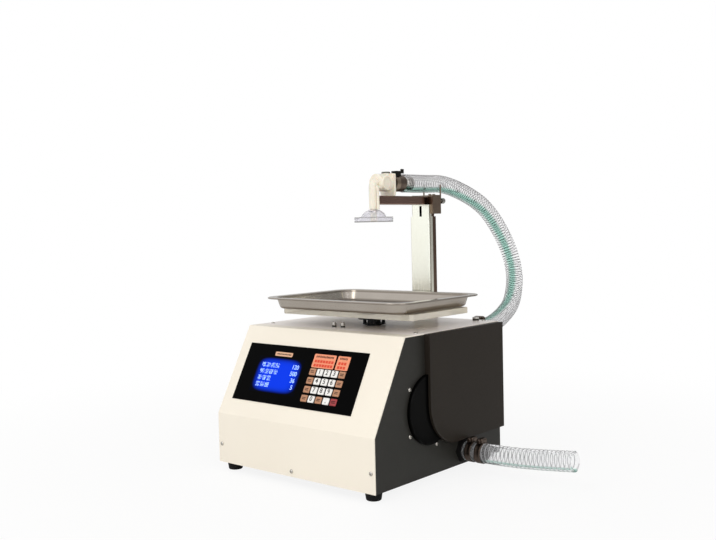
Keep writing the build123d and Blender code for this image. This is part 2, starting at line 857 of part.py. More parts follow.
outlet_turn_y = 60.0
outlet_route = [
    (pipe_x, pump_y, pump_z + boss_reach),
    (pipe_x, pump_y, outlet_z),
    (outlet_x, outlet_turn_y, outlet_z),
    (outlet_x, rear_y, outlet_z),
]
with BuildPart() as outlet_port:
    with BuildLine():
        FilletPolyline(*outlet_route, radius=pipe_bend)
    with BuildSketch(Plane(origin=outlet_route[0], z_dir=(0, 0, 1))):
        Circle(pipe_radius)
        Circle(pipe_bore, mode=Mode.SUBTRACT)
    sweep()
    with BuildSketch(Plane.XZ.offset(-rear_y)):
        with Locations((outlet_x, outlet_z)):
            RegularPolygon(port_nut_radius, 6, major_radius=False)
            Circle(pipe_bore, mode=Mode.SUBTRACT)
    extrude(amount=-port_nut_length)
    with BuildSketch(
        Plane(origin=(outlet_x, rear_y + port_nut_length, outlet_z), x_dir=(1, 0, 0), z_dir=(0, 0, 1))
    ):
        Polygon(*ribbed_outline(barb_length), align=None)
    revolve(axis=Axis((outlet_x, rear_y + port_nut_length, outlet_z), (0, 1, 0)))
outlet_port.part.label = "outlet_port"
export_step(outlet_port.part, "parts/outlet_port.step")

# Hoses. Their points are chosen by hand; the arcs are as large as the runs allow.


def corner_radii(points):
    """Largest tangent arcs for a route: 0.45 of the shorter run over the tangent of half the turn."""
    radii = []
    for before, corner, after in zip(points, points[1:], points[2:]):
        run_in = Vector(*corner) - Vector(*before)
        run_out = Vector(*after) - Vector(*corner)
        turn = run_in.get_angle(run_out)
        radii.append(0.45 * min(run_in.length, run_out.length) / tan(radians(turn / 2)))
    return radii


delivery_points = [
    (mast_x, union_rear_y + hose_seat, head_z),
    (21.5, 144.5, head_z),
    (22.5, 190.0, 421.0),
    (29.0, 245.0, 406.0),
    (39.0, 295.0, 380.0),
    (52.0, 334.5, 322.5),
    (67.0, 337.5, 270.0),
    (82.0, 303.5, 225.0),
    (93.0, 258.0, 206.0),
    (outlet_x, 198.0, outlet_z),
    (outlet_x, rear_y + port_nut_length + hose_seat, outlet_z),
]
suction_points = [
    (half_width + port_nut_length + hose_seat, suction_y, suction_z),
    (217.0, 48.0, suction_z),
    (270.0, 48.0, 35.0),
    (327.0, 48.0, 41.0),
]
hose_section = pi * (hose_radius**2 - hose_bore**2)
delivery_radii = corner_radii(delivery_points)
suction_radii = corner_radii(suction_points)
print("delivery hose radii", [round(r) for r in delivery_radii])
print("suction hose radii", [round(r) for r in suction_radii])

with BuildPart() as delivery_hose:
    with BuildLine() as delivery_path:
        FilletPolyline(*delivery_points, radius=delivery_radii)
    with BuildSketch(Plane(origin=delivery_points[0], z_dir=delivery_path.wire() % 0)):
        Circle(hose_radius)
        Circle(hose_bore, mode=Mode.SUBTRACT)
    sweep()
delivery_length = delivery_path.wire().length
print("delivery hose", delivery_length, delivery_hose.part.volume / (hose_section * delivery_length))
delivery_hose.part.label = "delivery_hose"
export_step(delivery_hose.part, "parts/delivery_hose.step")

with BuildPart() as suction_hose:
    with BuildLine() as suction_path:
        FilletPolyline(*suction_points, radius=suction_radii)
    with BuildSketch(Plane(origin=suction_points[0], z_dir=suction_path.wire() % 0)):
        Circle(hose_radius)
        Circle(hose_bore, mode=Mode.SUBTRACT)
    sweep()
suction_length = suction_path.wire().length
print("suction hose", suction_length, suction_hose.part.volume / (hose_section * suction_length))
suction_hose.part.label = "suction_hose"
export_step(suction_hose.part, "parts/suction_hose.step")

clamp_inner = hose_radius + clamp_gap
clamp_outer = clamp_inner + clamp_thickness
clamp_box_width = 8.0
clamp_box_height = 7.0
clamp_steps = (5.0, 21.0)
outlet_clamp_step = 12.0
suction_clamp_x = [half_width + port_nut_length + step for step in clamp_steps]
outlet_clamp_y = rear_y + port_nut_length + outlet_clamp_step
with BuildPart() as hose_clamps:
    for clamp_x in suction_clamp_x:
        with BuildSketch(Plane.YZ.offset(clamp_x)):
            with Locations((suction_y, suction_z)):
                Circle(clamp_outer)
                Circle(clamp_inner, mode=Mode.SUBTRACT)
            with Locations((suction_y, suction_z + clamp_inner)):
                Rectangle(clamp_box_width * 1.6, clamp_box_height, align=(Align.CENTER, Align.MIN))
            with Locations((suction_y, suction_z)):
                Circle(clamp_inner, mode=Mode.SUBTRACT)
        extrude(amount=clamp_width)
    with BuildSketch(Plane.XZ.offset(-outlet_clamp_y)):
        with Locations((outlet_x, outlet_z)):
            Circle(clamp_outer)
        with Locations((outlet_x, outlet_z + clamp_inner)):
            Rectangle(clamp_box_width * 1.6, clamp_box_height, align=(Align.CENTER, Align.MIN))
        with Locations((outlet_x, outlet_z)):
            Circle(clamp_inner, mode=Mode.SUBTRACT)
    extrude(amount=-clamp_width)
hose_clamps.part.label = "hose_clamps"
export_step(hose_clamps.part, "parts/hose_clamps.step")

# Sheet guard in front of the pump. Its rim steps over the end plate.
guard_top_z = deck_z - guard_top_gap
guard_rear_y = rear_y - guard_rear_gap
with BuildPart() as pump_cover:
    with BuildSketch(Plane.YZ.offset(half_width)) as guard_outline:
        with BuildLine():
            Polyline(
                (guard_front_y + guard_corner, guard_low_z),
                (guard_rear_y, guard_low_z),
                (guard_rear_y, guard_top_z),
                (guard_front_y, guard_top_z),
                (guard_front_y, guard_low_z + guard_corner),
            )
            RadiusArc(
                (guard_front_y, guard_low_z + guard_corner),
                (guard_front_y + guard_corner, guard_low_z),
                -guard_corner,
            )
        make_face()
    extrude(amount=guard_depth)
    with BuildSketch(Plane.YZ.offset(half_width)):
        add(guard_outline.sketch)
        offset(amount=-sheet)
    extrude(amount=guard_depth - sheet, mode=Mode.SUBTRACT)
    with BuildSketch(Plane.YZ.offset(half_width)):
        with Locations((pump_y, pump_z)):
            Circle(end_plate_radius + fit_gap)
        with Locations(*ring_screws):
            Circle(screw_head_radius + fit_gap)
    extrude(amount=end_plate_thickness + fit_gap, mode=Mode.SUBTRACT)
pump_cover.part.label = "pump_cover"
export_step(pump_cover.part, "parts/pump_cover.step")

# Weighing deck

with BuildPart() as load_cell:
    with Locations((pedestal_x, weigh_y, cell_top)):
        Box(cell_length, cell_width, cell_height, align=(Align.MIN, Align.CENTER, Align.MAX))
    with BuildSketch(Plane.XZ.offset(-weigh_y)):
        with Locations((pedestal_x + cell_length / 2, cell_top - cell_height / 2)):
            with GridLocations(cell_hole_pitch, 0, 2, 1):
                Circle(cell_hole_radius)
            Rectangle(cell_hole_pitch, cell_slot_height)
    extrude(amount=cell_width, both=True, mode=Mode.SUBTRACT)
load_cell.part.label = "load_cell"
export_step(load_cell.part, "parts/load_cell.step")

collar_low = deck_z + collar_gap
collar_top = collar_low + collar_height
hub_low = collar_top + hub_lift
hub_top = hub_low + hub_thickness
with BuildPart() as load_post:
    for level, top, radius in (
        (cell_top, hub_low, post_radius),
        (collar_low, collar_top, collar_radius),
        (hub_low, hub_top, hub_radius),
        (hub_top, platform_low, spacer_radius),
    ):
        with BuildSketch(Plane.XY.offset(level)):
            with Locations((weigh_x, weigh_y)):
                Circle(radius)
        extrude(amount=top - level)
    with BuildSketch(Plane.XY.offset(collar_top)):
        with Locations((weigh_x, weigh_y)):
            with PolarLocations(leg_ring, leg_count, start_angle=45):
                Circle(leg_radius)
    extrude(amount=hub_lift)
load_post.part.label = "load_post"
export_step(load_post.part, "parts/load_post.step")

with BuildPart() as platform:
    with BuildSketch(Plane.XY.offset(platform_low)):
        with Locations((weigh_x, weigh_y)):
            RectangleRounded(platform_width, platform_depth, platform_corner)
    extrude(amount=platform_thickness)
    chamfer(platform.faces().filter_by(Plane.XY).edges(), 0.6)
platform.part.label = "platform"
export_step(platform.part, "parts/platform.step")

tray_x = weigh_x + tray_shift_x
tray_y = weigh_y + tray_shift_y
tray_low = platform_low + platform_thickness + tray_seat
tray_top = tray_low + tray_height
mouth_width = tray_width - 2 * tray_rim
mouth_depth = tray_depth - 2 * tray_rim
mouth_corner = tray_corner - tray_rim / 2
bottom_corner = mouth_corner - tray_taper
bottom_round = 3.0
with BuildPart() as tray:
    with BuildSketch(Plane.XY.offset(tray_low)):
        with Locations((tray_x, tray_y)):
            RectangleRounded(
                mouth_width - 2 * tray_taper, mouth_depth - 2 * tray_taper, bottom_corner
            )
    with BuildSketch(Plane.XY.offset(tray_top)):
        with Locations((tray_x, tray_y)):
            RectangleRounded(mouth_width, mouth_depth, mouth_corner)
    loft(ruled=True)
    fillet(tray.faces().sort_by(Axis.Z)[0].edges(), bottom_round)
    offset(amount=-tray_wall, openings=tray.faces().sort_by(Axis.Z)[-1])
    with BuildSketch(Plane.XY.offset(tray_top)):
        with Locations((tray_x, tray_y)):
            RectangleRounded(tray_width, tray_depth, tray_corner)
            RectangleRounded(
                mouth_width - 2 * tray_wall,
                mouth_depth - 2 * tray_wall,
                mouth_corner - tray_wall,
                mode=Mode.SUBTRACT,
            )
    extrude(amount=-tray_wall)
    with BuildSketch(Plane.XY.offset(tray_top)):
        with Locations((tray_x, tray_y)):
            RectangleRounded(tray_width, tray_depth, tray_corner)
            RectangleRounded(
                tray_width - 2 * tray_wall,
                tray_depth - 2 * tray_wall,
                tray_corner - tray_wall,
                mode=Mode.SUBTRACT,
            )
    extrude(amount=-tray_lip)
tray.part.label = "tray"
export_step(tray.part, "parts/tray.step")

stud_cap = 1.6
with BuildPart() as deck_studs:
    with BuildSketch(Plane.XY.offset(deck_z)):
        with Locations((stud_left_x, stud_y), (stud_right_x, stud_y)):
            Circle(stud_radius)
        with Locations((rear_stud_x, rear_stud_y)):
            Circle(rear_stud_radius)
    extrude(amount=rear_stud_height)
    with BuildSketch(Plane.XY.offset(deck_z + rear_stud_height)):
        with Locations((stud_left_x, stud_y), (stud_right_x, stud_y)):
            Circle(stud_radius - 0.8)
    extrude(amount=stud_height - rear_stud_height + stud_cap)
    fillet(deck_studs.faces().filter_by(Plane.XY).group_by(Axis.Z)[-1].edges(), 0.7)
deck_studs.part.label = "deck_studs"
export_step(deck_studs.part, "parts/deck_studs.step")

# Mast, arm and filling head

with BuildPart() as outer_column:
    with BuildSketch(Plane.XY.offset(pan_top)):
        with Locations((mast_x, column_middle_y)):
            RectangleRounded(column_width, column_depth, 2.0)
            Rectangle(
                column_width - 2 * column_wall,
                column_depth - 2 * column_wall,
                mode=Mode.SUBTRACT,
            )
    extrude(amount=column_top - pan_top)
outer_column.part.label = "outer_column"
export_step(outer_column.part, "parts/outer_column.step")

mast_width = column_width - 2 * column_wall - 2 * mast_gap
mast_depth = column_depth - 2 * column_wall - 2 * mast_gap
with BuildPart() as inner_mast:
    with BuildSketch(Plane.XY.offset(column_top - mast_overlap)):
        with Locations((mast_x, column_middle_y)):
            RectangleRounded(mast_width, mast_depth, 1.2)
            Rectangle(mast_width - 2 * mast_wall, mast_depth - 2 * mast_wall, mode=Mode.SUBTRACT)
    extrude(amount=arm_low - column_top + mast_overlap)
    with BuildSketch(Plane.XZ.offset(-column_middle_y)):
        with Locations((mast_x, arm_low - mast_slot_drop)):
            Rectangle(mast_slot_width, mast_slot_length, align=(Align.CENTER, Align.MAX))
    extrude(amount=mast_depth, mode=Mode.SUBTRACT)
inner_mast.part.label = "inner_mast"
export_step(inner_mast.part, "parts/inner_mast.step")

arm_length = arm_rear_y - arm_front_y
notch_radius = spout_radius + notch_gap
with BuildPart() as arm:
    with BuildSketch(Plane.XZ.offset(-arm_front_y)):
        with Locations((mast_x, arm_low + arm_height / 2)):
            RectangleRounded(arm_width, arm_height, 1.6)
            Rectangle(arm_width - 2 * arm_wall, arm_height - 2 * arm_wall, mode=Mode.SUBTRACT)
    extrude(amount=-arm_length)
    with BuildSketch(Plane.XY.offset(arm_low)):
        with Locations((mast_x, spout_y)):
            Circle(notch_radius)
            Rectangle(2 * notch_radius, 2 * notch_radius, align=(Align.CENTER, Align.MAX))
    extrude(amount=arm_height, mode=Mode.SUBTRACT)
arm.part.label = "arm"
export_step(arm.part, "parts/arm.step")

bracket_width = mast_width + 2 * bracket_side
mast_rear_y = column_middle_y + mast_depth / 2
with BuildPart() as arm_bracket:
    with BuildSketch(Plane.XY.offset(bracket_low)):
        with Locations((mast_x, bracket_front_y)):
            Rectangle(
                bracket_width,
                bracket_rear_y - bracket_front_y,
                align=(Align.CENTER, Align.MIN),
            )
    extrude(amount=bracket_top - bracket_low)
    fillet(arm_bracket.edges().filter_by(Axis.Z).group_by(Axis.Y)[-1], 2.0)
    with BuildSketch(Plane.XY.offset(bracket_low)):
        with Locations((mast_x, mast_rear_y)):
            Rectangle(mast_width, mast_depth, align=(Align.CENTER, Align.MAX))
    extrude(amount=bracket_top - bracket_low, mode=Mode.SUBTRACT)
    with BuildSketch(Plane.XZ.offset(-bracket_front_y + 1)):
        with Locations((mast_x, arm_low)):
            Rectangle(arm_width, arm_height, align=(Align.CENTER, Align.MIN))
    extrude(amount=-(bracket_rear_y - bracket_front_y + 2), mode=Mode.SUBTRACT)
    with BuildSketch(Plane.XZ.offset(-bracket_rear_y)):
        with Locations((knob_x, knob_z)):
            Circle(knob_shank_radius + running_gap)
    extrude(amount=knob_depth, mode=Mode.SUBTRACT)
    with BuildSketch(Plane.XY.offset(bracket_top)):
        with Locations(
            (bracket_screw_x, bracket_front_y + bracket_length * 0.35),
            (bracket_screw_x, bracket_front_y + bracket_length * 0.8),
        ):
            Circle(bracket_screw_radius)
    extrude(amount=bracket_screw_height)
    rest_wire_low = arm_low + rest_wire_low_rise
    rest_wire_top = arm_low + rest_wire_top_rise
    rest_wire_y = bracket_rear_y + rest_wire_back
    for side in (-1, 1):
        wire_x = mast_x + side * rest_wire_x
        with BuildLine():
            FilletPolyline(
                (wire_x, bracket_rear_y - 2, rest_wire_low),
                (wire_x, rest_wire_y, rest_wire_low),
                (wire_x, rest_wire_y, rest_wire_top),
                radius=1.8,
            )
        with BuildSketch(Plane(origin=(wire_x, bracket_rear_y - 2, rest_wire_low), z_dir=(0, 1, 0))):
            Circle(rest_wire_radius)
        sweep()
arm_bracket.part.label = "arm_bracket"
export_step(arm_bracket.part, "parts/arm_bracket.step")

knob_front_y = bracket_rear_y + knob_standoff
with BuildPart() as bracket_knob:
    with BuildSketch(Plane.XZ.offset(-knob_front_y)):
        with Locations((knob_x, knob_z)):
            Circle(knob_radius)
    extrude(amount=-knob_length)
    chamfer(bracket_knob.faces().sort_by(Axis.Y)[-1].edges(), 0.8)
    with BuildSketch(Plane.XZ.offset(-knob_front_y)):
        with Locations((knob_x, knob_z)):
            Circle(knob_shank_radius)
    extrude(amount=knob_standoff + knob_depth - 1)
bracket_knob.part.label = "bracket_knob"
export_step(bracket_knob.part, "parts/bracket_knob.step")

spout_route = [
    (mast_x, body_front_y + 2.0, head_z),
    (mast_x, spout_y, head_z),
    (mast_x, spout_y, spout_low),
]
boss_top = head_z + flange_above
rod_top = head_z - body_radius + 2 * rod_lug_height
with BuildPart() as nozzle_elbow:
    with BuildSketch(Plane.XZ.offset(-body_front_y)):
        with Locations((mast_x, head_z)):
            Circle(body_radius)
    extrude(amount=-(body_rear_y - body_front_y))
    fillet(nozzle_elbow.faces().sort_by(Axis.Y)[0].edges(), 1.5)
    with BuildSketch(Plane.XZ.offset(-body_rear_y)):
        with Locations((mast_x, arm_top)):
            Rectangle(2 * flange_side, boss_top - arm_top, align=(Align.CENTER, Align.MIN))
    extrude(amount=-flange_thickness)
    flange_corners = [
        edge
        for edge in nozzle_elbow.edges().filter_by(Axis.Y)
        if abs(edge.center().X - mast_x) > flange_side - 0.1
    ]
    fillet(flange_corners, flange_corner)
    with BuildSketch(Plane.XY.offset(head_z)):
        with Locations((mast_x, boss_y)):
            Circle(boss_radius)
    extrude(amount=boss_top - head_z)
    with BuildLine(mode=Mode.PRIVATE) as spout_path:
        FilletPolyline(*spout_route, radius=spout_bend)
    with BuildSketch(Plane(origin=spout_route[0], z_dir=(0, -1, 0))):
        Circle(spout_radius)
    sweep(path=spout_path.wire())
    with BuildSketch(Plane.XY.offset(arm_low - rod_drop)):
        with Locations((rod_x, spout_y)):
            Circle(rod_radius)
    extrude(amount=rod_top - arm_low + rod_drop)
    with BuildSketch(Plane.XY.offset(rod_top - rod_lug_height)):
        with Locations((rod_x, spout_y - rod_radius)):
            Rectangle(
                2 * rod_radius,
                body_front_y - spout_y + 2 * rod_radius,
                align=(Align.CENTER, Align.MIN),
            )
    extrude(amount=rod_lug_height)
    with BuildSketch(Plane(origin=spout_route[0], z_dir=(0, -1, 0))):
        Circle(spout_bore)
    sweep(path=spout_path.wire(), mode=Mode.SUBTRACT)
    with BuildSketch(Plane.XZ.offset(-flange_rear_y)):
        with Locations((mast_x, head_z)):
            Circle(spout_bore)
    extrude(amount=flange_rear_y - body_front_y - 1.0, mode=Mode.SUBTRACT)
nozzle_elbow.part.label = "nozzle_elbow"
export_step(nozzle_elbow.part, "parts/nozzle_elbow.step")

with BuildPart() as bleed_cap:
    with BuildSketch(Plane.XY.offset(boss_top)):
        with Locations((mast_x, boss_y)):
            Circle(boss_radius)
    extrude(amount=cap_thickness)
    fillet(bleed_cap.faces().sort_by(Axis.Z)[-1].edges(), 1.2)
bleed_cap.part.label = "bleed_cap"
export_step(bleed_cap.part, "parts/bleed_cap.step")

with BuildPart() as inlet_union:
    with BuildSketch(Plane.XZ.offset(-flange_rear_y)):
        with Locations((mast_x, head_z)):
            Circle(neck_radius)
            Circle(barb_bore, mode=Mode.SUBTRACT)
    extrude(amount=-neck_length)
    with BuildSketch(Plane.XZ.offset(-union_front_y)):
        with Locations((mast_x, head_z)):
            Circle(union_radius)
            Circle(barb_bore, mode=Mode.SUBTRACT)
    extrude(amount=-union_length)
    chamfer(inlet_union.faces().sort_by(Axis.Y)[-1].outer_wire().edges(), union_chamfer)
    with BuildSketch(
        Plane(origin=(mast_x, union_rear_y, head_z), x_dir=(1, 0, 0), z_dir=(0, 0, 1))
    ):
        Polygon(*ribbed_outline(union_barb_length), align=None)
    revolve(axis=Axis((mast_x, union_rear_y, head_z), (0, 1, 0)))
inlet_union.part.label = "inlet_union"
export_step(inlet_union.part, "parts/inlet_union.step")

fly_inner = union_radius + fly_gap
fly_outer = fly_inner + clamp_thickness
fly_front_y = union_front_y + 1.0
fly_x = mast_x + fly_shift_x
fly_tab_y = fly_front_y + fly_tab_step
fly_shaft_z = head_z + fly_outer + 0.6
with BuildPart() as butterfly_clamp:
    with BuildSketch(Plane.XZ.offset(-fly_front_y)):
        with Locations((mast_x, head_z)):
            Circle(fly_outer)
            Circle(fly_inner, mode=Mode.SUBTRACT)
    extrude(amount=-fly_width)
    with BuildSketch(Plane.XZ.offset(-fly_front_y)):
        with Locations((fly_x, head_z)):
            Rectangle(fly_block_width, fly_block_rise, align=(Align.CENTER, Align.MIN))
        with Locations((mast_x, head_z)):
            Circle(fly_inner, mode=Mode.SUBTRACT)
            Rectangle(2 * fly_inner, 2 * fly_block_width, mode=Mode.SUBTRACT)
    extrude(amount=-fly_block_length)
    with BuildSketch(Plane.YZ.offset(fly_x - fly_tab_width / 2)):
        with Locations((fly_front_y + fly_block_length - 1.0, fly_shaft_z)):
            Rectangle(fly_tab_y - fly_front_y - fly_block_length + 2.0, 2.0, align=(Align.MIN, Align.MIN))
        with Locations((fly_tab_y, fly_shaft_z)):
            Rectangle(
                fly_tab_length,
                head_z + fly_tab_rise - fly_shaft_z,
                align=(Align.CENTER, Align.MIN),
            )
    extrude(amount=fly_tab_width)
butterfly_clamp.part.label = "butterfly_clamp"
export_step(butterfly_clamp.part, "parts/butterfly_clamp.step")

with BuildPart() as nozzle_tube:
    with BuildSketch(Plane.XY.offset(nozzle_low)):
        with Locations((mast_x, spout_y)):
            Circle(nozzle_radius)
            Circle(spout_bore, mode=Mode.SUBTRACT)
    extrude(amount=spout_low - nozzle_low)
nozzle_tube.part.label = "nozzle_tube"
export_step(nozzle_tube.part, "parts/nozzle_tube.step")

# Clear guard round the nozzle: a bell that spreads into a shallow inverted dish
hub_inner = nozzle_radius + nozzle_clearance
outer_bell = [(radius, bell_top - fall) for radius, fall in bell_profile]
inner_bell = [
    (max(radius - disc_thickness, hub_inner), bell_top - fall - disc_thickness)
    for radius, fall in bell_profile
]
with BuildPart() as splash_disc:
    with BuildSketch(Plane(origin=(mast_x, spout_y, 0), x_dir=(1, 0, 0), z_dir=(0, -1, 0))):
        Polygon(
            (hub_inner, bell_top),
            *outer_bell,
            (disc_radius, disc_top),
            (disc_radius, disc_top - disc_rim_height),
            (disc_radius - disc_thickness, disc_top - disc_rim_height),
            (disc_radius - disc_thickness, disc_top - disc_thickness),
            *reversed(inner_bell[1:]),
            (hub_inner, bell_top - 2 * disc_thickness),
            align=None,
        )
    revolve(axis=Axis((mast_x, spout_y, 0), (0, 0, 1)))
splash_disc.part.label = "splash_disc"
export_step(splash_disc.part, "parts/splash_disc.step")

# Pan-head screws, each with its head on the sheet and a short shank in its hole


def screw_outline():
    """Half section of a screw, as points of radius and height above the sheet."""
    return [
        (0.0, -sheet),
        (screw_shank_radius, -sheet),
        (screw_shank_radius, 0.0),
        (screw_head_radius, 0.0),
        (screw_head_radius, screw_head_height * 0.5),
        (screw_head_radius * 0.6, screw_head_height),
        (0.0, screw_head_height),
    ]


screw_places = [((x, front_y, z), (0, -1, 0)) for x, z in front_screws]
screw_places += [((x, y, deck_z), (0, 0, 1)) for x, y in deck_screws]
screw_places += [((x, rear_y, z), (0, 1, 0)) for x, z in rear_screws]
screw_places += [((half_width, y, z), (1, 0, 0)) for y, z in ring_screws]
with BuildPart() as cabinet_screws:
    for place, outward in screw_places:
        side = Vector(outward).cross(Vector(1, 0, 0) if abs(outward[0]) < 0.5 else Vector(0, 1, 0))
        with BuildSketch(Plane(origin=place, x_dir=side, z_dir=side.cross(Vector(outward)))):
            Polygon(*screw_outline(), align=None)
        revolve(axis=Axis(place, outward))
cabinet_screws.part.label = "cabinet_screws"
export_step(cabinet_screws.part, "parts/cabinet_screws.step")
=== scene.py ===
import math

import bmesh
import bpy
import numpy as np
from mathutils import Matrix, Vector


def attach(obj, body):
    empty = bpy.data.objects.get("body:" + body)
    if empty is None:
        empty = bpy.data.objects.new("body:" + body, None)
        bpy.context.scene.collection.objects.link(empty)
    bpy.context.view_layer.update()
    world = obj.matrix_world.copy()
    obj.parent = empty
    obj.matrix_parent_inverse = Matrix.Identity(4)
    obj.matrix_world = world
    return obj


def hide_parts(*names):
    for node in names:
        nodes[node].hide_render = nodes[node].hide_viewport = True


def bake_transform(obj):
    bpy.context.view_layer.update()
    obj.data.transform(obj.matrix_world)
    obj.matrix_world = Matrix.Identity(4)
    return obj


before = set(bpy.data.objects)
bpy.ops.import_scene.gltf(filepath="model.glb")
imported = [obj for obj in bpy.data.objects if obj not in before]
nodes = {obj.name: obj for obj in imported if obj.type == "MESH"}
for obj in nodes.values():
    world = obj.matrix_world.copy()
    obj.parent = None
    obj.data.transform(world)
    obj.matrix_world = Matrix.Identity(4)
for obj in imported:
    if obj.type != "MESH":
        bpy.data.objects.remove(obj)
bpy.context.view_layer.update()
mm = 0.001
print("frame loaded:", len(nodes), "nodes")

# where the photographer stood
viewpoint = {
    "azimuth": 40.79,  # degrees to the right of the front
    "elevation": 2.73,
    "roll": -1.35,
    "distance": 1386.81,  # mm from the middle of the footprint
    "slide": (-5.35, 277.82),  # mm to the right and up in the picture plane
    "lift": 12.0,  # mm, the feet's height
    "lens": 46.45,
}


def addObject(name, data):
    # puts an object with this data in the scene
    piece = bpy.data.objects.new(name, data)
    bpy.context.scene.collection.objects.link(piece)
    return piece


def placeCamera(settings):
    # the camera looks along minus back, and its right and up are turned by the roll
    azimuth, elevation, roll = (math.radians(settings[k]) for k in ("azimuth", "elevation", "roll"))
    level = math.cos(elevation)
    back = Vector((math.sin(azimuth) * level, -math.cos(azimuth) * level, math.sin(elevation)))
    right = Vector((0, 0, 1)).cross(back).normalized()
    up = back.cross(right)
    turnedRight = math.cos(roll) * right + math.sin(roll) * up
    turnedUp = -math.sin(roll) * right + math.cos(roll) * up
    place = back * settings["distance"] + turnedRight * settings["slide"][0] + turnedUp * settings["slide"][1]
    place = (place + Vector((0, 0, settings["lift"]))) * mm
    camera = addObject("photoCamera", bpy.data.cameras.new("photoCamera"))
    camera.data.lens = settings["lens"]
    camera.data.clip_start = 0.01
    camera.matrix_world = Matrix.Translation(place) @ Matrix(
        [[turnedRight[i], turnedUp[i], back[i], 0] for i in range(3)] + [[0, 0, 0, 1]]
    )
    bpy.context.scene.camera = camera


placeCamera(viewpoint)
print("camera placed")


def toLinear(hexColour, alpha=1.0):
    # sRGB hex to linear light
    parts = [int(hexColour[i:i + 2], 16) / 255 for i in (1, 3, 5)]
    return [p / 12.92 if p <= 0.04045 else ((p + 0.055) / 1.055) ** 2.4 for p in parts] + [alpha]


def feed(node, sockets):
    # sets each socket, or links it where its value is another node's output
    for name, value in sockets.items():
        if isinstance(value, bpy.types.NodeSocket):
            node.id_data.links.new(value, node.inputs[name])
        else:
            node.inputs[name].default_value = value


def addNode(tree, kind, settings=None, sockets=None, take=0):
    # adds a node and gives the output to take
    node = tree.nodes.new("ShaderNode" + kind)
    for name, value in (settings or {}).items():
        setattr(node, name, value)
    feed(node, sockets or {})
    return node.outputs[take]


colourMix = {"data_type": "RGBA"}
smoothStep = {"interpolation_type": "SMOOTHSTEP"}


def addMark(tree, place, tint, mark):
    # a colour of its own where each distance from a middle, along the named axes, passes from far to near (mm)
    amount = None
    for axes, centre, far, near in mark["where"]:
        keep = [float(axis in axes) for axis in "xyz"]
        middle = [dict(zip(axes, centre)).get(axis, 0.0) * mm for axis in "xyz"]
        away = addNode(tree, "VectorMath", {"operation": "SUBTRACT"}, {0: place, 1: middle})
        kept = addNode(tree, "VectorMath", {"operation": "MULTIPLY"}, {0: away, 1: keep})
        reach = addNode(tree, "VectorMath", {"operation": "LENGTH"}, {0: kept}, take="Value")
        share = addNode(
            tree, "MapRange", smoothStep, {"Value": reach, "From Min": far * mm, "From Max": near * mm},
        )
        if amount is not None:
            share = addNode(tree, "Math", {"operation": "MULTIPLY"}, {0: amount, 1: share})
        amount = share
    return addNode(tree, "Mix", colourMix, {0: amount, 6: tint, 7: toLinear(mark["colour"])}, take=2)


def newFinish(name):
    # a material, with its node tree and its shader
    material = bpy.data.materials.new(name)
    material.use_nodes = True
    return material, material.node_tree, material.node_tree.nodes["Principled BSDF"]


def surfaceFinish(name, recipe):
    # two tints drift over patches, and a fine grain gives the gloss and the bump
    material, tree, shader = newFinish(name)
    place = addNode(tree, "TexCoord", take="Object")
    grain = [1000 / size for size in np.broadcast_to(recipe.get("grainMm", 0.5), 3)]
    grainPlace = addNode(tree, "Mapping", {}, {"Vector": place, "Scale": grain})
    grainNoise = addNode(tree, "TexNoise", {}, {"Vector": grainPlace, "Scale": 1.0, "Detail": 2.0})
    patchNoise = addNode(
        tree, "TexNoise", {}, {"Vector": place, "Scale": 1000 / recipe["patchMm"], "Detail": 3.0}
    )
    tint = addNode(
        tree, "Mix", colourMix,
        {0: patchNoise, 6: toLinear(recipe["dark"]), 7: toLinear(recipe["light"])}, take=2,
    )
    for mark in recipe.get("marks", []):
        tint = addMark(tree, place, tint, mark)
    low, high = recipe["rough"]
    gloss = addNode(
        tree, "MapRange", {},
        {"Value": grainNoise, "From Min": 0.3, "From Max": 0.7, "To Min": low, "To Max": high},
    )
    bump = addNode(
        tree, "Bump", {}, {"Height": grainNoise, "Strength": 1.0, "Distance": recipe["bumpMm"] * mm}
    )
    feed(shader, {
        "Base Color": tint, "Roughness": gloss, "Normal": bump,
        "Specular IOR Level": recipe.get("specular", 0.5), **recipe.get("shader", {}),
    })
    return material


# sizes are in millimetres; a recipe that names no grain has one of half a millimetre, because a finer
# one wouldn't show in a render
tubeX = 21.5  # the middle of the column, arm and nozzle
metal = {"shader": {"Metallic": 1.0}}
# polished stainless box tube with faint drawing lines along Z: a bright front
polishedTube = {
    "light": "#FAFAEE", "dark": "#F4F3E2", "patchMm": 80.0, "grainMm": (0.5, 0.5, 40.0),
    "rough": (0.18, 0.28), "bumpMm": 0.003, **metal,
}
# moulded ABS of the key caps: even colour and a soft, finely grained shine
keyPlastic = {"patchMm": 8.0, "grainMm": 0.4, "rough": (0.38, 0.52), "bumpMm": 0.006, "specular": 0.2}
# screen-printed ink below the film's satin face: flat, hardly shining
printedInk = {"rough": (0.34, 0.46), "bumpMm": 0.002, "specular": 0.1}
# drawn spring wire: a soft grey gleam
springWire = {"patchMm": 10.0, "rough": (0.3, 0.4), "bumpMm": 0.004, "shader": {"Metallic": 0.3}}

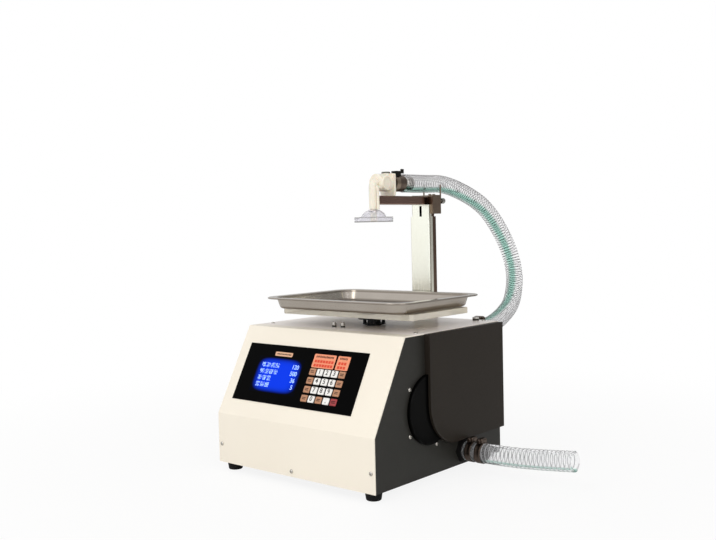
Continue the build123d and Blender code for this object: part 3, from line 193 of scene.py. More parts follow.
recipes = {
    # gloss enamel on folded sheet: faint orange peel under a clear shine
    "creamEnamel": {
        "light": "#F6EEDF", "dark": "#F0E7D7", "patchMm": 160.0, "grainMm": 1.8,
        "rough": (0.30, 0.42), "bumpMm": 0.012,
        "specular": 0.35, "shader": {"Coat Weight": 0.12, "Coat Roughness": 0.15},
        # behind its front border the deck is painted a cooler tint, which stands in for the tray's shade and
        # reflection on it (painted shade and reflection)
        "marks": [{"colour": "#FBF3EE", "where": [("z", (0,), 207.2, 207.8), ("y", (148.5,), 212.0, 207.0)]}],
    },
    # powder coat on the side sheets: finely pebbled, half gloss
    "darkPowderCoat": {
        "light": "#2A2925", "dark": "#1F1E1B", "patchMm": 90.0, "grainMm": 0.9,
        "rough": (0.42, 0.56), "bumpMm": 0.02, "specular": 0.3,
    },
    # brown-grey powder coat of the pump guard: duller than the sides
    "guardPowderCoat": {
        "light": "#2A241D", "dark": "#211C17", "patchMm": 120.0, "grainMm": 0.9,
        "rough": (0.50, 0.62), "bumpMm": 0.015, "specular": 0.2,
    },
    # black lacquer on the pump's end plate: smooth and deep
    "blackLacquer": {
        "light": "#040404", "dark": "#020202", "patchMm": 50.0, "grainMm": 1.5,
        "rough": (0.30, 0.38), "bumpMm": 0.002, "specular": 0.04,
    },
    # sprayed grey paint of the gear motor: a little rough
    "motorPaint": {
        "light": "#5C6064", "dark": "#505458", "patchMm": 40.0, "grainMm": 0.8,
        "rough": (0.4, 0.55), "bumpMm": 0.02,
    },
    # a darker line down each front corner, and the rear half of each side painted brown-dark as a painted
    # reflection of the dim surroundings
    "drawnSteelColumn": {**polishedTube, "marks": [
        {"colour": "#8D8678", "where": [("x", (tubeX,), 17.3, 18.4), ("y", (129,), 2.0, 1.0)]},
        {"colour": "#6B564A", "where": [("x", (tubeX,), 17.6, 18.5), ("y", (146.5,), 10.6, 9.6)]},
    ]},
    # the same on the mast, and its inside, seen through the slot, painted near black as painted shade
    "drawnSteelMast": {**polishedTube, "marks": [
        {"colour": "#8D8678", "where": [("x", (tubeX,), 15.6, 16.7), ("y", (131,), 2.0, 1.0)]},
        {"colour": "#6B564A", "where": [("x", (tubeX,), 16.0, 16.8), ("y", (144.5,), 8.6, 7.6)]},
        {"colour": "#0B0A09", "where": [("x", (tubeX,), 16.0, 15.8), ("y", (137.75,), 6.5, 6.2)]},
    ]},
    # drawn stainless of the arm, lines along Y; its brown-grey tint is a painted reflection of the dim
    # surroundings in its side
    "drawnSteelArm": {
        "light": "#94786D", "dark": "#7F655B", "patchMm": 40.0, "grainMm": (0.5, 40.0, 0.5),
        "rough": (0.18, 0.30), "bumpMm": 0.004, **metal,
    },
    # cold rolled stainless of the tray, pressed and lightly polished, with rolling lines along X
    "pressedSteel": {
        "light": "#B7B0A7", "dark": "#A29A91", "patchMm": 60.0, "grainMm": (14.0, 0.8, 0.8),
        "rough": (0.20, 0.27), "bumpMm": 0.003, **metal,
        # darker over the floor and its bend, a painted reflection of the shaded deck below, and darker along a
        # line below the rim
        "marks": [
            {"colour": "#7C746C", "where": [("z", (234,), 5.2, 1.6)]},
            {"colour": "#8B837A", "where": [("z", (249.2,), 2.2, 0.6)]},
        ],
    },
    # plain turned steel of fittings: soft highlights
    "turnedSteel": {
        "light": "#A9A6A1", "dark": "#8F8C87", "patchMm": 12.0, "rough": (0.24, 0.4), "bumpMm": 0.006, **metal,
    },
    # nickel plating: bright, only faintly hazy
    "nickelPlate": {
        "light": "#C9C5BE", "dark": "#B2AEA7", "patchMm": 8.0, "grainMm": 0.6,
        "rough": (0.12, 0.22), "bumpMm": 0.002, **metal,
    },
    # chromed stop studs: a bright head, with a dark band painted round the groove below it as painted shade
    "chromedStud": {
        "light": "#C4C0BA", "dark": "#A9A59F", "patchMm": 6.0, "rough": (0.08, 0.16), "bumpMm": 0.002, **metal,
        "marks": [{"colour": "#262421", "where": [("z", (210.4,), 1.5, 0.8)]}],
    },
    # bronzed steel of the hose union, dulled by handling
    "bronzedSteel": {
        "light": "#7D6E63", "dark": "#574A42", "patchMm": 9.0, "rough": (0.24, 0.42), "bumpMm": 0.01, **metal,
        # the barb behind it is plain bright steel, with dark bands painted between its ribs as painted shade
        # in the valleys
        "marks": [{"colour": "#D9D6D2", "where": [("y", (106,), 21.4, 20.4)]}]
        + [{"colour": "#2B2725", "where": [("y", (y,), 1.5, 0.7)]} for y in (87.4, 92.2, 97.0, 101.8)],
    },
    # brown-grey plated sheet of the arm's bracket
    "platedBracket": {
        "light": "#8E7D6F", "dark": "#756557", "patchMm": 14.0, "grainMm": (0.6, 0.6, 6.0),
        "rough": (0.26, 0.42), "bumpMm": 0.006, **metal,
    },
    # plated band of the quick-release clamp, with a blackened block and lever outside it
    "clampSteel": {
        "light": "#A39483", "dark": "#7F7062", "patchMm": 7.0, "rough": (0.24, 0.40), "bumpMm": 0.008, **metal,
        "marks": [{"colour": "#2C2B27", "where": [("xz", (tubeX, 419.3), 13.8, 14.1)]}],
    },
    # worm clamps: zinc plating gone brown and dull
    "agedZinc": {
        "light": "#6E6158", "dark": "#463B34", "patchMm": 5.0, "rough": (0.2, 0.4), "bumpMm": 0.006, **metal,
    },
    # milled aluminium: cutter lines along Y, a cool half gloss
    "cutAluminium": {
        "light": "#C9CACB", "dark": "#BABBBD", "patchMm": 20.0, "grainMm": (0.4, 6.0, 0.4),
        "rough": (0.3, 0.45), "bumpMm": 0.006, **metal,
    },
    # moulded ABS of the nozzle elbow: creamy white, soft shine
    "mouldedAbs": {
        "light": "#F6EFE0", "dark": "#E8DFCC", "patchMm": 18.0, "grainMm": 0.7,
        "rough": (0.26, 0.40), "bumpMm": 0.008,
        "shader": {"Subsurface Weight": 0.1, "Subsurface Scale": 0.002},
    },
    # moulded black ABS: satin, with the mould's fine grain
    "blackAbs": {
        "light": "#191817", "dark": "#0E0D0D", "patchMm": 20.0, "rough": (0.35, 0.5), "bumpMm": 0.01,
        "specular": 0.25,
    },
    # dark olive-grey cap of moulded nylon
    "greyNylon": {
        "light": "#6B6B61", "dark": "#54554C", "patchMm": 8.0, "rough": (0.34, 0.5), "bumpMm": 0.008,
        "specular": 0.4,
    },
    # moulded natural rubber of the feet: matt, nearly black
    "footRubber": {
        "light": "#121211", "dark": "#090909", "patchMm": 12.0, "grainMm": 0.4,
        "rough": (0.6, 0.8), "bumpMm": 0.03, "specular": 0.2,
    },
    # back-printed polycarbonate film: deep black below a satin face
    "printedFilm": {
        "light": "#040404", "dark": "#010101", "patchMm": 50.0, "rough": (0.30, 0.40), "bumpMm": 0.002,
        "specular": 0.02,
    },
    # green solder mask over glass laminate: an even half gloss
    "boardLaminate": {
        "light": "#17583A", "dark": "#0F4A2F", "patchMm": 15.0, "rough": (0.3, 0.45), "bumpMm": 0.01,
    },
    "keyOrange": {"light": "#C08F70", "dark": "#AE7E60", **keyPlastic},
    "keyWhite": {"light": "#F6F4EF", "dark": "#E9E7E3", **keyPlastic},
    "keyRed": {"light": "#A94648", "dark": "#96393D", **keyPlastic},
    "labelOrange": {"light": "#F3A07C", "dark": "#EA9270", "patchMm": 10.0, **printedInk},
    "labelPale": {"light": "#E6BE9C", "dark": "#D8A484", "patchMm": 14.0, **printedInk},
    "labelRed": {"light": "#E2543F", "dark": "#D64A36", "patchMm": 10.0, **printedInk},
    "inkBlack": {"light": "#241B17", "dark": "#191310", "patchMm": 5.0, **printedInk},
    # cast acrylic of the platform, yellowed and a little milky
    "agedAcrylic": {
        "light": "#FFF9EC", "dark": "#FAF2E1", "patchMm": 40.0, "grainMm": 2.0,
        "rough": (0.10, 0.13), "bumpMm": 0.001, "shader": {"Transmission Weight": 0.55, "IOR": 1.2},
    },
    # frosted polycarbonate of the splash guard, cool and hazy, with a thicker rim whose top and bottom edges
    # are painted grey as painted shade
    "frostedGuard": {
        "light": "#F9F8FB", "dark": "#F0EFF4", "patchMm": 14.0, "grainMm": 0.6,
        "rough": (0.18, 0.3), "bumpMm": 0.004, "shader": {"Transmission Weight": 0.8, "IOR": 1.15},
        "marks": [{"colour": "#B4B3B1", "where": [
            ("xy", (tubeX, 15.5), 26.4, 27.6), ("z", (364.5,), 1.8, 3.0),
        ]}],
    },
    # the wire in the hose walls: bright in the short hose, dulled in the long one
    "springSteel": {"light": "#B6B5B7", "dark": "#989699", **springWire},
    "dullSpringSteel": {"light": "#949093", "dark": "#767275", **springWire},
}
finish = {name: surfaceFinish(name, recipe) for name, recipe in recipes.items()}


def screenFinish(name, settings, centre, halfSize):
    # a lit display: deep blue that fades to black where the two sides' shares, each to a power, near one
    material, tree, shader = newFinish(name)
    place = addNode(tree, "TexCoord", take="Object")
    local = addNode(
        tree, "Mapping", {"vector_type": "TEXTURE"},
        {"Vector": place, "Location": centre, "Rotation": (slopeTilt, 0, 0), "Scale": (*halfSize, 1)},
    )
    parts = addNode(tree, "SeparateXYZ", {}, {"Vector": local}).node
    powers = []
    for axis in ("X", "Y"):
        away = addNode(tree, "Math", {"operation": "ABSOLUTE"}, {0: parts.outputs[axis]})
        powers.append(addNode(tree, "Math", {"operation": "POWER"}, {0: away, 1: settings["squareness"]}))
    distance = addNode(tree, "Math", {"operation": "ADD"}, dict(enumerate(powers)))
    fade = addNode(tree, "MapRange", smoothStep, {"Value": distance, "From Max": settings["fadeEnd"]})
    glow = addNode(
        tree, "Mix", colourMix,
        {0: fade, 6: toLinear(settings["glow"]), 7: toLinear(settings["rim"])}, take=2,
    )
    feed(shader, {
        "Base Color": toLinear("#010208"), "Emission Color": glow, "Emission Strength": 1.0,
        "Specular IOR Level": 0.02, "Roughness": 0.3,
    })
    return material


def hoseFinish(name, settings):
    # clear soft PVC over a steel helix: almost colourless, with one sea-green stripe in the wall
    material, tree, shader = newFinish(name)
    stripe = addNode(tree, "Attribute", {"attribute_name": "stripe"}, take="Fac")
    place = addNode(tree, "TexCoord", take="Object")
    # clouds about 17 mm across
    cloud = addNode(tree, "TexNoise", {}, {"Vector": place, "Scale": 60.0, "Detail": 3.0})
    clear = addNode(
        tree, "Mix", colourMix,
        {0: cloud, 6: toLinear(settings["clear"]), 7: toLinear(settings["hazy"])}, take=2,
    )
    tint = addNode(tree, "Mix", colourMix, {0: stripe, 6: clear, 7: toLinear(settings["green"])}, take=2)
    gloss = addNode(tree, "MapRange", {}, {"Value": cloud, "To Min": 0.08, "To Max": 0.2})
    feed(shader, {
        "Base Color": tint, "Roughness": gloss,
        "Transmission Weight": settings["transmission"], "IOR": settings["ior"],
    })
    return material


# the long hose is nearly clear, and the short one milkier
hoseWalls = {
    "delivery": hoseFinish("clearPvc", {
        "clear": "#FEFEFE", "hazy": "#FAFAFA", "green": "#A6D4C6", "transmission": 0.97, "ior": 1.07,
    }),
    "suction": hoseFinish("milkyPvc", {
        "clear": "#FEFEFE", "hazy": "#F8F8F9", "green": "#A4D3C4", "transmission": 0.9, "ior": 1.1,
    }),
}


def lightFinish(name, colour, strength):
    # a lit dot of the display
    material, tree, shader = newFinish(name)
    lit = toLinear(colour)
    feed(shader, {"Base Color": lit, "Emission Color": lit, "Emission Strength": strength})
    return material


print("materials ready:", len(finish))


def gridFaces(rows, columns, wrapRows=False, wrapColumns=False):
    # quads between neighbouring points of a grid, row after row
    i, j = np.indices((rows if wrapRows else rows - 1, columns if wrapColumns else columns - 1))
    here, below, beside = i * columns, (i + 1) % rows * columns, (j + 1) % columns
    corners = [here + j, here + beside, below + beside, below + j]
    return np.stack(corners, axis=-1).reshape(-1, 4)


def cappedFaces(rings, columns):
    # quads between the rings of a closed tube, and one face over each of its ends
    faces = gridFaces(rings, columns, wrapColumns=True).tolist()
    last = (rings - 1) * columns
    return faces + [list(range(columns))[::-1], list(range(last, last + columns))]


def makePiece(name, shapes, body, material, smooth=True, sharp=35.0, outward=True):
    # joins (points, faces) shapes into one object, with doubles merged and normals outwards;
    # a body of None leaves it to ride on nothing yet
    points, faces, start = [], [], 0
    for shapePoints, shapeFaces in shapes:
        flat = np.asarray(shapePoints, float).reshape(-1, 3)
        points.append(flat)
        faces += [[int(c) + start for c in face] for face in shapeFaces]
        start += len(flat)
    mesh = bpy.data.meshes.new(name)
    mesh.from_pydata(np.concatenate(points).tolist(), [], faces)
    shape = bmesh.new()
    shape.from_mesh(mesh)
    bmesh.ops.remove_doubles(shape, verts=shape.verts, dist=2e-6)
    bmesh.ops.dissolve_degenerate(shape, edges=shape.edges, dist=1e-7)
    if outward:
        bmesh.ops.recalc_face_normals(shape, faces=shape.faces)
    for edge in shape.edges:
        if len(edge.link_faces) == 2 and edge.calc_face_angle(0) > math.radians(sharp):
            edge.smooth = False
    for face in shape.faces:
        face.smooth = smooth
    shape.to_mesh(mesh)
    shape.free()
    mesh.materials.append(material)
    piece = addObject(name, mesh)
    if body:
        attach(piece, body)
    return piece


def revolveShape(profile, centre, axis, side, sides=48):
    # each (radius, height) of the profile goes round the axis
    axis = np.array(axis, float) / np.linalg.norm(axis)
    side = np.array(side, float)
    side -= axis * side.dot(axis)
    side /= np.linalg.norm(side)
    other = np.cross(axis, side)
    profile = np.array(profile, float)
    turn = np.linspace(0, 2 * np.pi, sides, endpoint=False)
    ring = np.cos(turn)[None, :, None] * side + np.sin(turn)[None, :, None] * other
    points = np.array(centre, float) + profile[:, 0, None, None] * ring + profile[:, 1, None, None] * axis
    return points * mm, gridFaces(len(profile), sides, wrapColumns=True)


def roundedOutline(halfX, halfY, radius, cornerSteps=8):
    # a rectangle with quarter circles at its corners, anticlockwise, as unit-free points
    turns = np.linspace(0, np.pi / 2, cornerSteps + 1)
    corners = []
    for k, (sx, sy) in enumerate(((1, 1), (-1, 1), (-1, -1), (1, -1))):
        angle = turns + k * np.pi / 2
        x = sx * (halfX - radius) + radius * np.cos(angle)
        y = sy * (halfY - radius) + radius * np.sin(angle)
        corners.append(np.stack([x, y], axis=-1))
    return np.concatenate(corners)


def dress(nodeNames, material):
    # gives CAD nodes a finish through their own material slots
    for name in nodeNames.split():
        for materialSlot in nodes[name].material_slots:
            materialSlot.material = material


# sizes shared with the part's source, in millimetres
cabinet = {
    "halfWidth": 150.0, "frontY": -148.5, "rearY": 148.5, "deckZ": 208.0, "bendZ": 84.7,
    "slopeRun": 67.8, "filmThickness": 0.8,
}
slopeRise = cabinet["deckZ"] - cabinet["bendZ"]
slopeLength = math.hypot(cabinet["slopeRun"], slopeRise)
slopeTilt = math.atan2(slopeRise, cabinet["slopeRun"])
slopeUp = np.array([0, cabinet["slopeRun"], slopeRise]) / slopeLength
slopeOut = np.array([0, -slopeRise, cabinet["slopeRun"]]) / slopeLength
slopeStart = np.array([0, cabinet["frontY"], cabinet["bendZ"]])


def onSlope(x, s, height):
    # a point of the front panel from its x, its distance s up the slope and its height over it
    x, s, height = np.broadcast_arrays(*(np.asarray(v, float) for v in (x, s, height)))
    across = x[..., None] * np.array([1, 0, 0])
    return slopeStart + across + s[..., None] * slopeUp + height[..., None] * slopeOut


# the hoses, with the route of each as in the part's source
hose = {
    "outside": 14.0, "inside": 10.3, "ripple": 0.3, "sides": 40,
    "pitch": {"delivery": 4.6, "suction": 6.4},
    # the wire: its radius, how far it lies outside the middle of the wall, its sides and steps to a turn
    "wire": 0.5, "wireShift": 0.5, "wireSides": 5, "wireSteps": 22, "wireSpan": (0.004, 0.996),
    "wireFinish": {"delivery": "dullSpringSteel", "suction": "springSteel"},
    # the tinted stripe: its angle round the hose and its half width, in degrees
    "stripe": {"delivery": (58.0, 36.0), "suction": (84.0, 30.0)},
    "delivery": [
        (21.5, 85.4, 419.3), (21.5, 144.5, 419.3), (22.5, 190.0, 421.0), (29.0, 245.0, 406.0),
        (39.0, 295.0, 380.0), (52.0, 334.5, 322.5), (67.0, 337.5, 270.0), (82.0, 303.5, 225.0),
        (93.0, 258.0, 206.0), (100.0, 198.0, 190.0), (100.0, 156.0, 190.0),
    ],
    "suction": [(157.5, 48.0, 32.0), (217.0, 48.0, 32.0), (270.0, 48.0, 35.0), (327.0, 48.0, 41.0)],
    "giveFrom": (60.0, 245.0, 204.0), "giveTo": (60.0, 245.0, 405.0),
}


def meshOf(data):
    # the mesh of a curve or of words, read from an object that is then removed
    piece = addObject(data.name, data)
    bpy.context.view_layer.update()
    read = bpy.data.meshes.new_from_object(piece)
    bpy.data.objects.remove(piece)
    return read


def routeLine(name, route, step):
    # the smooth line of a route, as evenly spaced points read from its NURBS spline
    data = bpy.data.curves.new(name, "CURVE")
    data.dimensions = "3D"
    spline = data.splines.new("NURBS")
    spline.points.add(len(route) - 1)
    for point, place in zip(spline.points, route):
        point.co = (*[c * mm for c in place], 1.0)
    spline.order_u = 3
    spline.use_endpoint_u = True
    spline.resolution_u = 24
    raw = np.array([v.co[:] for v in meshOf(data).vertices])
    along = np.r_[0, np.cumsum(np.linalg.norm(np.diff(raw, axis=0), axis=1))]
    even = np.linspace(0, along[-1], max(2, int(round(along[-1] / (step * mm))) + 1))
    return np.stack([np.interp(even, along, raw[:, k]) for k in range(3)], axis=-1), along[-1]


def carriedFrames(line):
    # tangents, and two side directions that turn as little as they can along the line
    tangent = np.gradient(line, axis=0)
    tangent /= np.linalg.norm(tangent, axis=1)[:, None]
    side = np.cross(tangent[0], [0.0, 0.0, 1.0])
    sides = []
    for direction in tangent:
        side = side - direction * side.dot(direction)
        side = side / np.linalg.norm(side)
        sides.append(side)
    sides = np.array(sides)
    return tangent, sides, np.cross(tangent, sides)


def makeHose(name, node, body="casing"):
    # the wall is two tubes joined at their ends; the outer one swells over each turn of the wire
    pitch = hose["pitch"][node]
    line, length = routeLine(name + "Line", hose[node], pitch / 5)
    tangent, sideA, sideB = carriedFrames(line)
    along = np.linspace(0, length / mm, len(line))
    turn = np.linspace(0, 2 * np.pi, hose["sides"], endpoint=False)
    phase = turn[None, :] - 2 * np.pi * along[:, None] / pitch
    swell = hose["ripple"] * (0.5 + 0.5 * np.cos(phase)) ** 2
    outer = hose["outside"] - hose["ripple"] + swell
    inner = np.full_like(outer, hose["inside"])
    spokes = np.cos(turn)[None, :, None] * sideA[:, None] + np.sin(turn)[None, :, None] * sideB[:, None]
    shell = np.concatenate([line[:, None] + outer[..., None] * mm * spokes,
                            (line[:, None] + inner[..., None] * mm * spokes)[::-1]])
    wall = makePiece(
        name, [(shell, gridFaces(len(shell), hose["sides"], wrapRows=True, wrapColumns=True))],
        body, hoseWalls[node], sharp=60.0,
    )
    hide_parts(node + "_hose")
    # how far each point lies inside the tinted stripe, kept as an attribute of the wall
    stripeMiddle, halfWidth = hose["stripe"][node]
    away = np.abs((np.degrees(turn) - stripeMiddle + 180) % 360 - 180)
    share = np.tile(np.clip((halfWidth - away) / (0.5 * halfWidth), 0, 1), len(shell))
    wall.data.attributes.new("stripe", "FLOAT", "POINT").data.foreach_set("value", share)
    # the wire is a helix in the middle of the wall
    steps = int(length / mm / pitch * hose["wireSteps"])
    wireAlong = np.linspace(*hose["wireSpan"], steps) * length / mm
    middle, aSide, bSide = (
        np.stack([np.interp(wireAlong, along, values[:, k]) for k in range(3)], axis=-1)
        for values in (line, sideA, sideB)
    )
    wireTurn = 2 * np.pi * wireAlong / pitch
    radius = 0.5 * (hose["outside"] + hose["inside"]) + hose["wireShift"]
    helix = middle + radius * mm * (np.cos(wireTurn)[:, None] * aSide + np.sin(wireTurn)[:, None] * bSide)
    helixTangent, wireA, wireB = carriedFrames(helix)
    around = np.linspace(0, 2 * np.pi, hose["wireSides"], endpoint=False)
    ring = np.cos(around)[None, :, None] * wireA[:, None] + np.sin(around)[None, :, None] * wireB[:, None]
    wirePoints = helix[:, None] + hose["wire"] * mm * ring
    wire = makePiece(
        name + "Wire", [(wirePoints, cappedFaces(steps, hose["wireSides"]))], body,
        finish[hose["wireFinish"][node]],
    )
    if body is None:
        for piece in (wall, wire):
            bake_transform(piece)
    return wall, wire


deliveryHose = makeHose("deliveryHose", "delivery", body=None)
suctionHose = makeHose("suctionHose", "suction")
print("hoses made")

# the loose steel tray
tray = {
    "centre": (13.0, 16.0), "size": (273.0, 200.0), "corner": 30.0, "rimZ": 251.6, "floorZ": 235.0,
    "flange": 11.0, "taper": 5.5, "wall": 0.8, "bottomRound": 4.5, "topRound": 2.2, "hem": 1.15,
    "floorRing": 14.0,  # the floor's own face starts this far inside the wall's foot
}


def roundedProfile(points, radii, steps=7):
    # each inner corner of a polyline becomes an arc that touches both its runs
    points = [np.array(p, float) for p in points]
    line = [points[0]]
    for before, corner, after, radius in zip(points, points[1:], points[2:], radii):
        inward, onward = before - corner, after - corner
        inward, onward = inward / np.linalg.norm(inward), onward / np.linalg.norm(onward)
        half = 0.5 * math.acos(max(-1.0, min(1.0, float(inward.dot(onward)))))
        cut = radius / math.tan(half)
        middle = (inward + onward) / np.linalg.norm(inward + onward) * radius / math.sin(half) + corner
        start, end = corner + inward * cut - middle, corner + onward * cut - middle
        sweep = math.acos(max(-1.0, min(1.0, float(start.dot(end)) / radius ** 2)))
        for k in np.linspace(0, 1, steps):
            reach = math.sin((1 - k) * sweep) * start + math.sin(k * sweep) * end
            line.append(middle + reach / math.sin(sweep))
    line.append(points[-1])
    return np.array(line)


def makeTray(sizes):
    # a profile of (inset, height) is carried round the rim; its far side is the same profile, one wall lower
    rim, floor = sizes["rimZ"], sizes["floorZ"]
    flange, taper, wall, hem = sizes["flange"], sizes["taper"], sizes["wall"], sizes["hem"]
    foot = flange + taper
    inside = roundedProfile(
        [(foot + sizes["floorRing"], floor), (foot + wall, floor), (flange + wall, rim), (2 * hem, rim)],
        [sizes["bottomRound"], sizes["topRound"]],
    )
    turn = np.linspace(np.pi / 2, 3 * np.pi / 2 - 0.35, 12)  # the hem stays a little open below
    roll = np.stack([hem + hem * np.cos(turn), rim - hem + hem * np.sin(turn)], -1)
    away = np.gradient(inside, axis=0)
    away = np.stack([-away[:, 1], away[:, 0]], -1) / np.linalg.norm(away, axis=1)[:, None]
    under = inside + wall * away * (-1 if away[0, 1] > 0 else 1)
    profile = np.concatenate([inside, roll, under[::-1][1:]])
    half = np.array(sizes["size"]) / 2
    rings = []
    for inset, height in profile:
        radius = sizes["corner"] - 0.5 * min(inset, flange) - max(0.0, inset - flange)
        outline = roundedOutline(half[0] - inset, half[1] - inset, max(radius, 2.0), 10)
        rings.append(np.c_[outline + np.array(sizes["centre"]), np.full(len(outline), height)])
    shape = (np.array(rings) * mm, cappedFaces(len(rings), len(rings[0])))
    piece = makePiece("pressedTray", [shape], "tray", finish["pressedSteel"], sharp=50.0)
    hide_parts("tray")


makeTray(tray)
print("tray made")

# the lit display
screen = {
    "left": -103.0, "right": -11.0, "low": 39.5, "high": 94.0, "height": 0.84,
    "lineTops": (81.5, 71.5, 61.5, 51.5), "wordStart": -93.0, "wordCounts": (4, 4, 3, 3),
    "values": ("120", "500", "36", "5"), "valueEnd": -18.5, "dot": 0.95, "digitSize": 9.0,
    "wordPitch": 9.4, "wordDrop": 3.4, "gap": (0.1, 0.05), "litShare": 0.52,
    "glow": "#0B3DF0", "rim": "#010104", "squareness": 4.6, "fadeEnd": 0.95,
}


def textShape(text, size, x, s, height, align="CENTER"):
    # words as flat faces on the slope, read from a text object
    data = bpy.data.curves.new("words", "FONT")
    data.body = text
    data.size = size * mm
    data.offset = 0.014 * size * mm  # a little bolder than the font
    data.align_x = align
    data.align_y = "CENTER"
    read = meshOf(data)
    flat = np.array([v.co[:] for v in read.vertices]) / mm
    faces = [list(p.vertices) for p in read.polygons]
    return onSlope(x + flat[:, 0], s + flat[:, 1], height) * mm, faces


def tileShape(lefts, rights, lows, highs, height):
    # one flat rectangle on the slope for each left, right, low and high
    x = np.stack([lefts, rights, rights, lefts], -1)
    s = np.stack([lows, lows, highs, highs], -1)
    return onSlope(x, s, height) * mm, np.arange(x.size).reshape(-1, 4)


def plateShape(x, s, halfX, halfS, radius, low, high, edge=0.4, steps=5, dish=0.0):
    # a rounded plate on the slope: walls, a quarter-round edge and a top that may be dished
    rings = [(0.0, low), (0.0, high - edge)]
    for turn in np.linspace(0.3, np.pi / 2, 4):
        rings.append((edge * (1 - math.cos(turn)), high - edge + edge * math.sin(turn)))
    rings += [(min(halfX, halfS) * k, high - dish * k) for k in (0.45, 0.7)] if dish else []
    points = []
    for inset, height in rings:
        outline = roundedOutline(halfX - inset, halfS - inset, max(radius - inset, 0.15), steps)
        points.append(onSlope(x + outline[:, 0], s + outline[:, 1], height))
    return np.array(points) * mm, cappedFaces(len(points), len(points[0]))


def makeScreen(settings):
    left, right, low, high = (settings[k] for k in ("left", "right", "low", "high"))
    height = settings["height"]
    middle = onSlope((left + right) / 2, (low + high) / 2, height) * mm
    halfSize = ((right - left) / 2 * mm, (high - low) / 2 * mm)
    material = screenFinish("litDisplay", settings, middle.tolist(), halfSize)
    rows, columns = np.meshgrid(np.linspace(low, high, 9), np.linspace(left, right, 15), indexing="ij")
    face = onSlope(columns, rows, height) * mm
    makePiece("litField", [(face, gridFaces(9, 15))], "casing", material, outward=False)
    # the words are rows of small lit dots, and the values are plain numbers
    draw = np.random.default_rng(7)
    shapes = []
    dot = settings["dot"]
    for top, count in zip(settings["lineTops"], settings["wordCounts"]):
        for glyph in range(count):
            lit = draw.random((7, 7)) < settings["litShare"]
            lit[:, 3] |= draw.random(7) < 0.5
            row, column = np.nonzero(lit)
            x = settings["wordStart"] + glyph * settings["wordPitch"] + column * (dot + settings["gap"][0])
            s = top - settings["wordDrop"] + row * (dot + settings["gap"][1])
            shapes.append(tileShape(x, x + dot, s, s + dot * 0.9, height + 0.05))
    size, end = settings["digitSize"], settings["valueEnd"]
    for top, value in zip(settings["lineTops"], settings["values"]):
        shapes.append(textShape(value, size, end, top, height + 0.05, "RIGHT"))
    dots = lightFinish("litDots", "#93B4FF", 0.8)
    makePiece("litWords", shapes, "casing", dots, smooth=False, outward=False)


# the keys: caps with numbers or bars, each riding on its own body
keypad = {
    "columns": 5, "rows": 4, "pitchX": 13.7, "pitchS": 13.07, "x": 37.4, "s": 58.9,
    "halfX": 5.65, "halfS": 4.9, "corner": 1.3, "top": 1.8, "foot": -0.4, "dish": 0.22,
    "digits": ("123", "456", "789", "0 ."), "digitSize": 9.4,
    "lastRow": ("keyOrange", "keyWhite", "keyOrange", "keyWhite", "keyRed"),
    "slots": {"keyOrange": "key_orange", "keyWhite": "key_white", "keyRed": "key_red"},
    "barHalf": {"keyOrange": 3.2, "keyRed": 3.6}, "barLift": 1.1, "barRise": 0.45,
}


def keyKind(row, column):
    # which cap a key has: orange at both sides, and the last row its own
    if row == keypad["rows"] - 1:
        return keypad["lastRow"][column]
    return "keyOrange" if column in (0, keypad["columns"] - 1) else "keyWhite"


def makeKeys(settings):
    for row in range(settings["rows"]):
        for column in range(settings["columns"]):
            x = settings["x"] + (column - 2) * settings["pitchX"]
            s = settings["s"] - (row - 1.5) * settings["pitchS"]
            kind = keyKind(row, column)
            body = f"key_{row + 1}_{column + 1}"
            cap = makePiece(
                f"cap_{row + 1}_{column + 1}",
                [plateShape(x, s, settings["halfX"], settings["halfS"], settings["corner"], settings["foot"],
                            settings["top"], edge=0.7, dish=settings["dish"])],
                body, finish[kind], sharp=60.0,
            )
            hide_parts(body)
            # numbers on the white keys, plain bars on the others
            height = settings["top"] + 0.02
            shapes = []
            if kind == "keyWhite":
                digit = settings["digits"][row][column - 1]
                shapes.append(textShape(digit, settings["digitSize"], x, s + 0.3, height))
            else:
                half, lift, rise = settings["barHalf"][kind], settings["barLift"], settings["barRise"]
                bars, x = np.array([s - lift, s + lift]), np.full(2, x)
                shapes.append(tileShape(x - half, x + half, bars - rise, bars + rise, height))
            makePiece(f"legend_{row + 1}_{column + 1}", shapes, body, finish["inkBlack"],
                      smooth=False, outward=False)


# the printed labels: left, right, low and high of each
labels = {
    "height": 0.83,
    "orange": [(3.8, 45.0, 84.8, 105.2), (48.2, 71.0, 84.8, 105.2), (-73.6, -38.6, 96.2, 102.6)],
}


def makeLabels(settings):
    height = settings["height"]
    shapes = []
    for left, right, low, high in settings["orange"]:
        x, s, halfX, halfS = (left + right) / 2, (low + high) / 2, (right - left) / 2, (high - low) / 2
        shapes.append(plateShape(x, s, halfX, halfS, 1.6, 0.78, height, edge=0.02))
    makePiece("orangePrint", shapes[:2], "casing", finish["labelOrange"], sharp=60.0)
    makePiece("palePrint", shapes[2:], "casing", finish["labelPale"], sharp=60.0)
    # red lines below and dark bars above, in place of the printed words
    draw = np.random.default_rng(3)
    red, dark = [], []
    for left, right, low, high in settings["orange"][:2]:
        for s in (low + 3.6, low + 9.6):
            edges = np.arange(left + 3.2, right - 5.5, 5.2)
            lows = np.full_like(edges, s - 1.9)
            red.append(tileShape(edges, edges + 4.3, lows, lows + 4.0, height + 0.02))
        edges = np.arange(left + 4.0, right - 4.5, 2.4)
        lift = draw.uniform(-0.3, 0.3, len(edges))
        dark.append(tileShape(edges, edges + 1.5, high - 5.2 + lift, high - 2.2 + lift, height + 0.02))
    left, right, low, high = settings["orange"][2]
    edges = np.arange(left + 4.0, right - 4.5, 2.9)
    lows, highs = np.full_like(edges, low + 2.2), np.full_like(edges, high - 2.2)
    dark.append(tileShape(edges, edges + 2.0, lows, highs, height + 0.02))
    makePiece("redPrint", red, "casing", finish["labelRed"], smooth=False, outward=False)
    makePiece("darkPrint", dark, "casing", finish["inkBlack"], smooth=False, outward=False)


makeScreen(screen)
makeKeys(keypad)
makeLabels(labels)
print("front panel made")

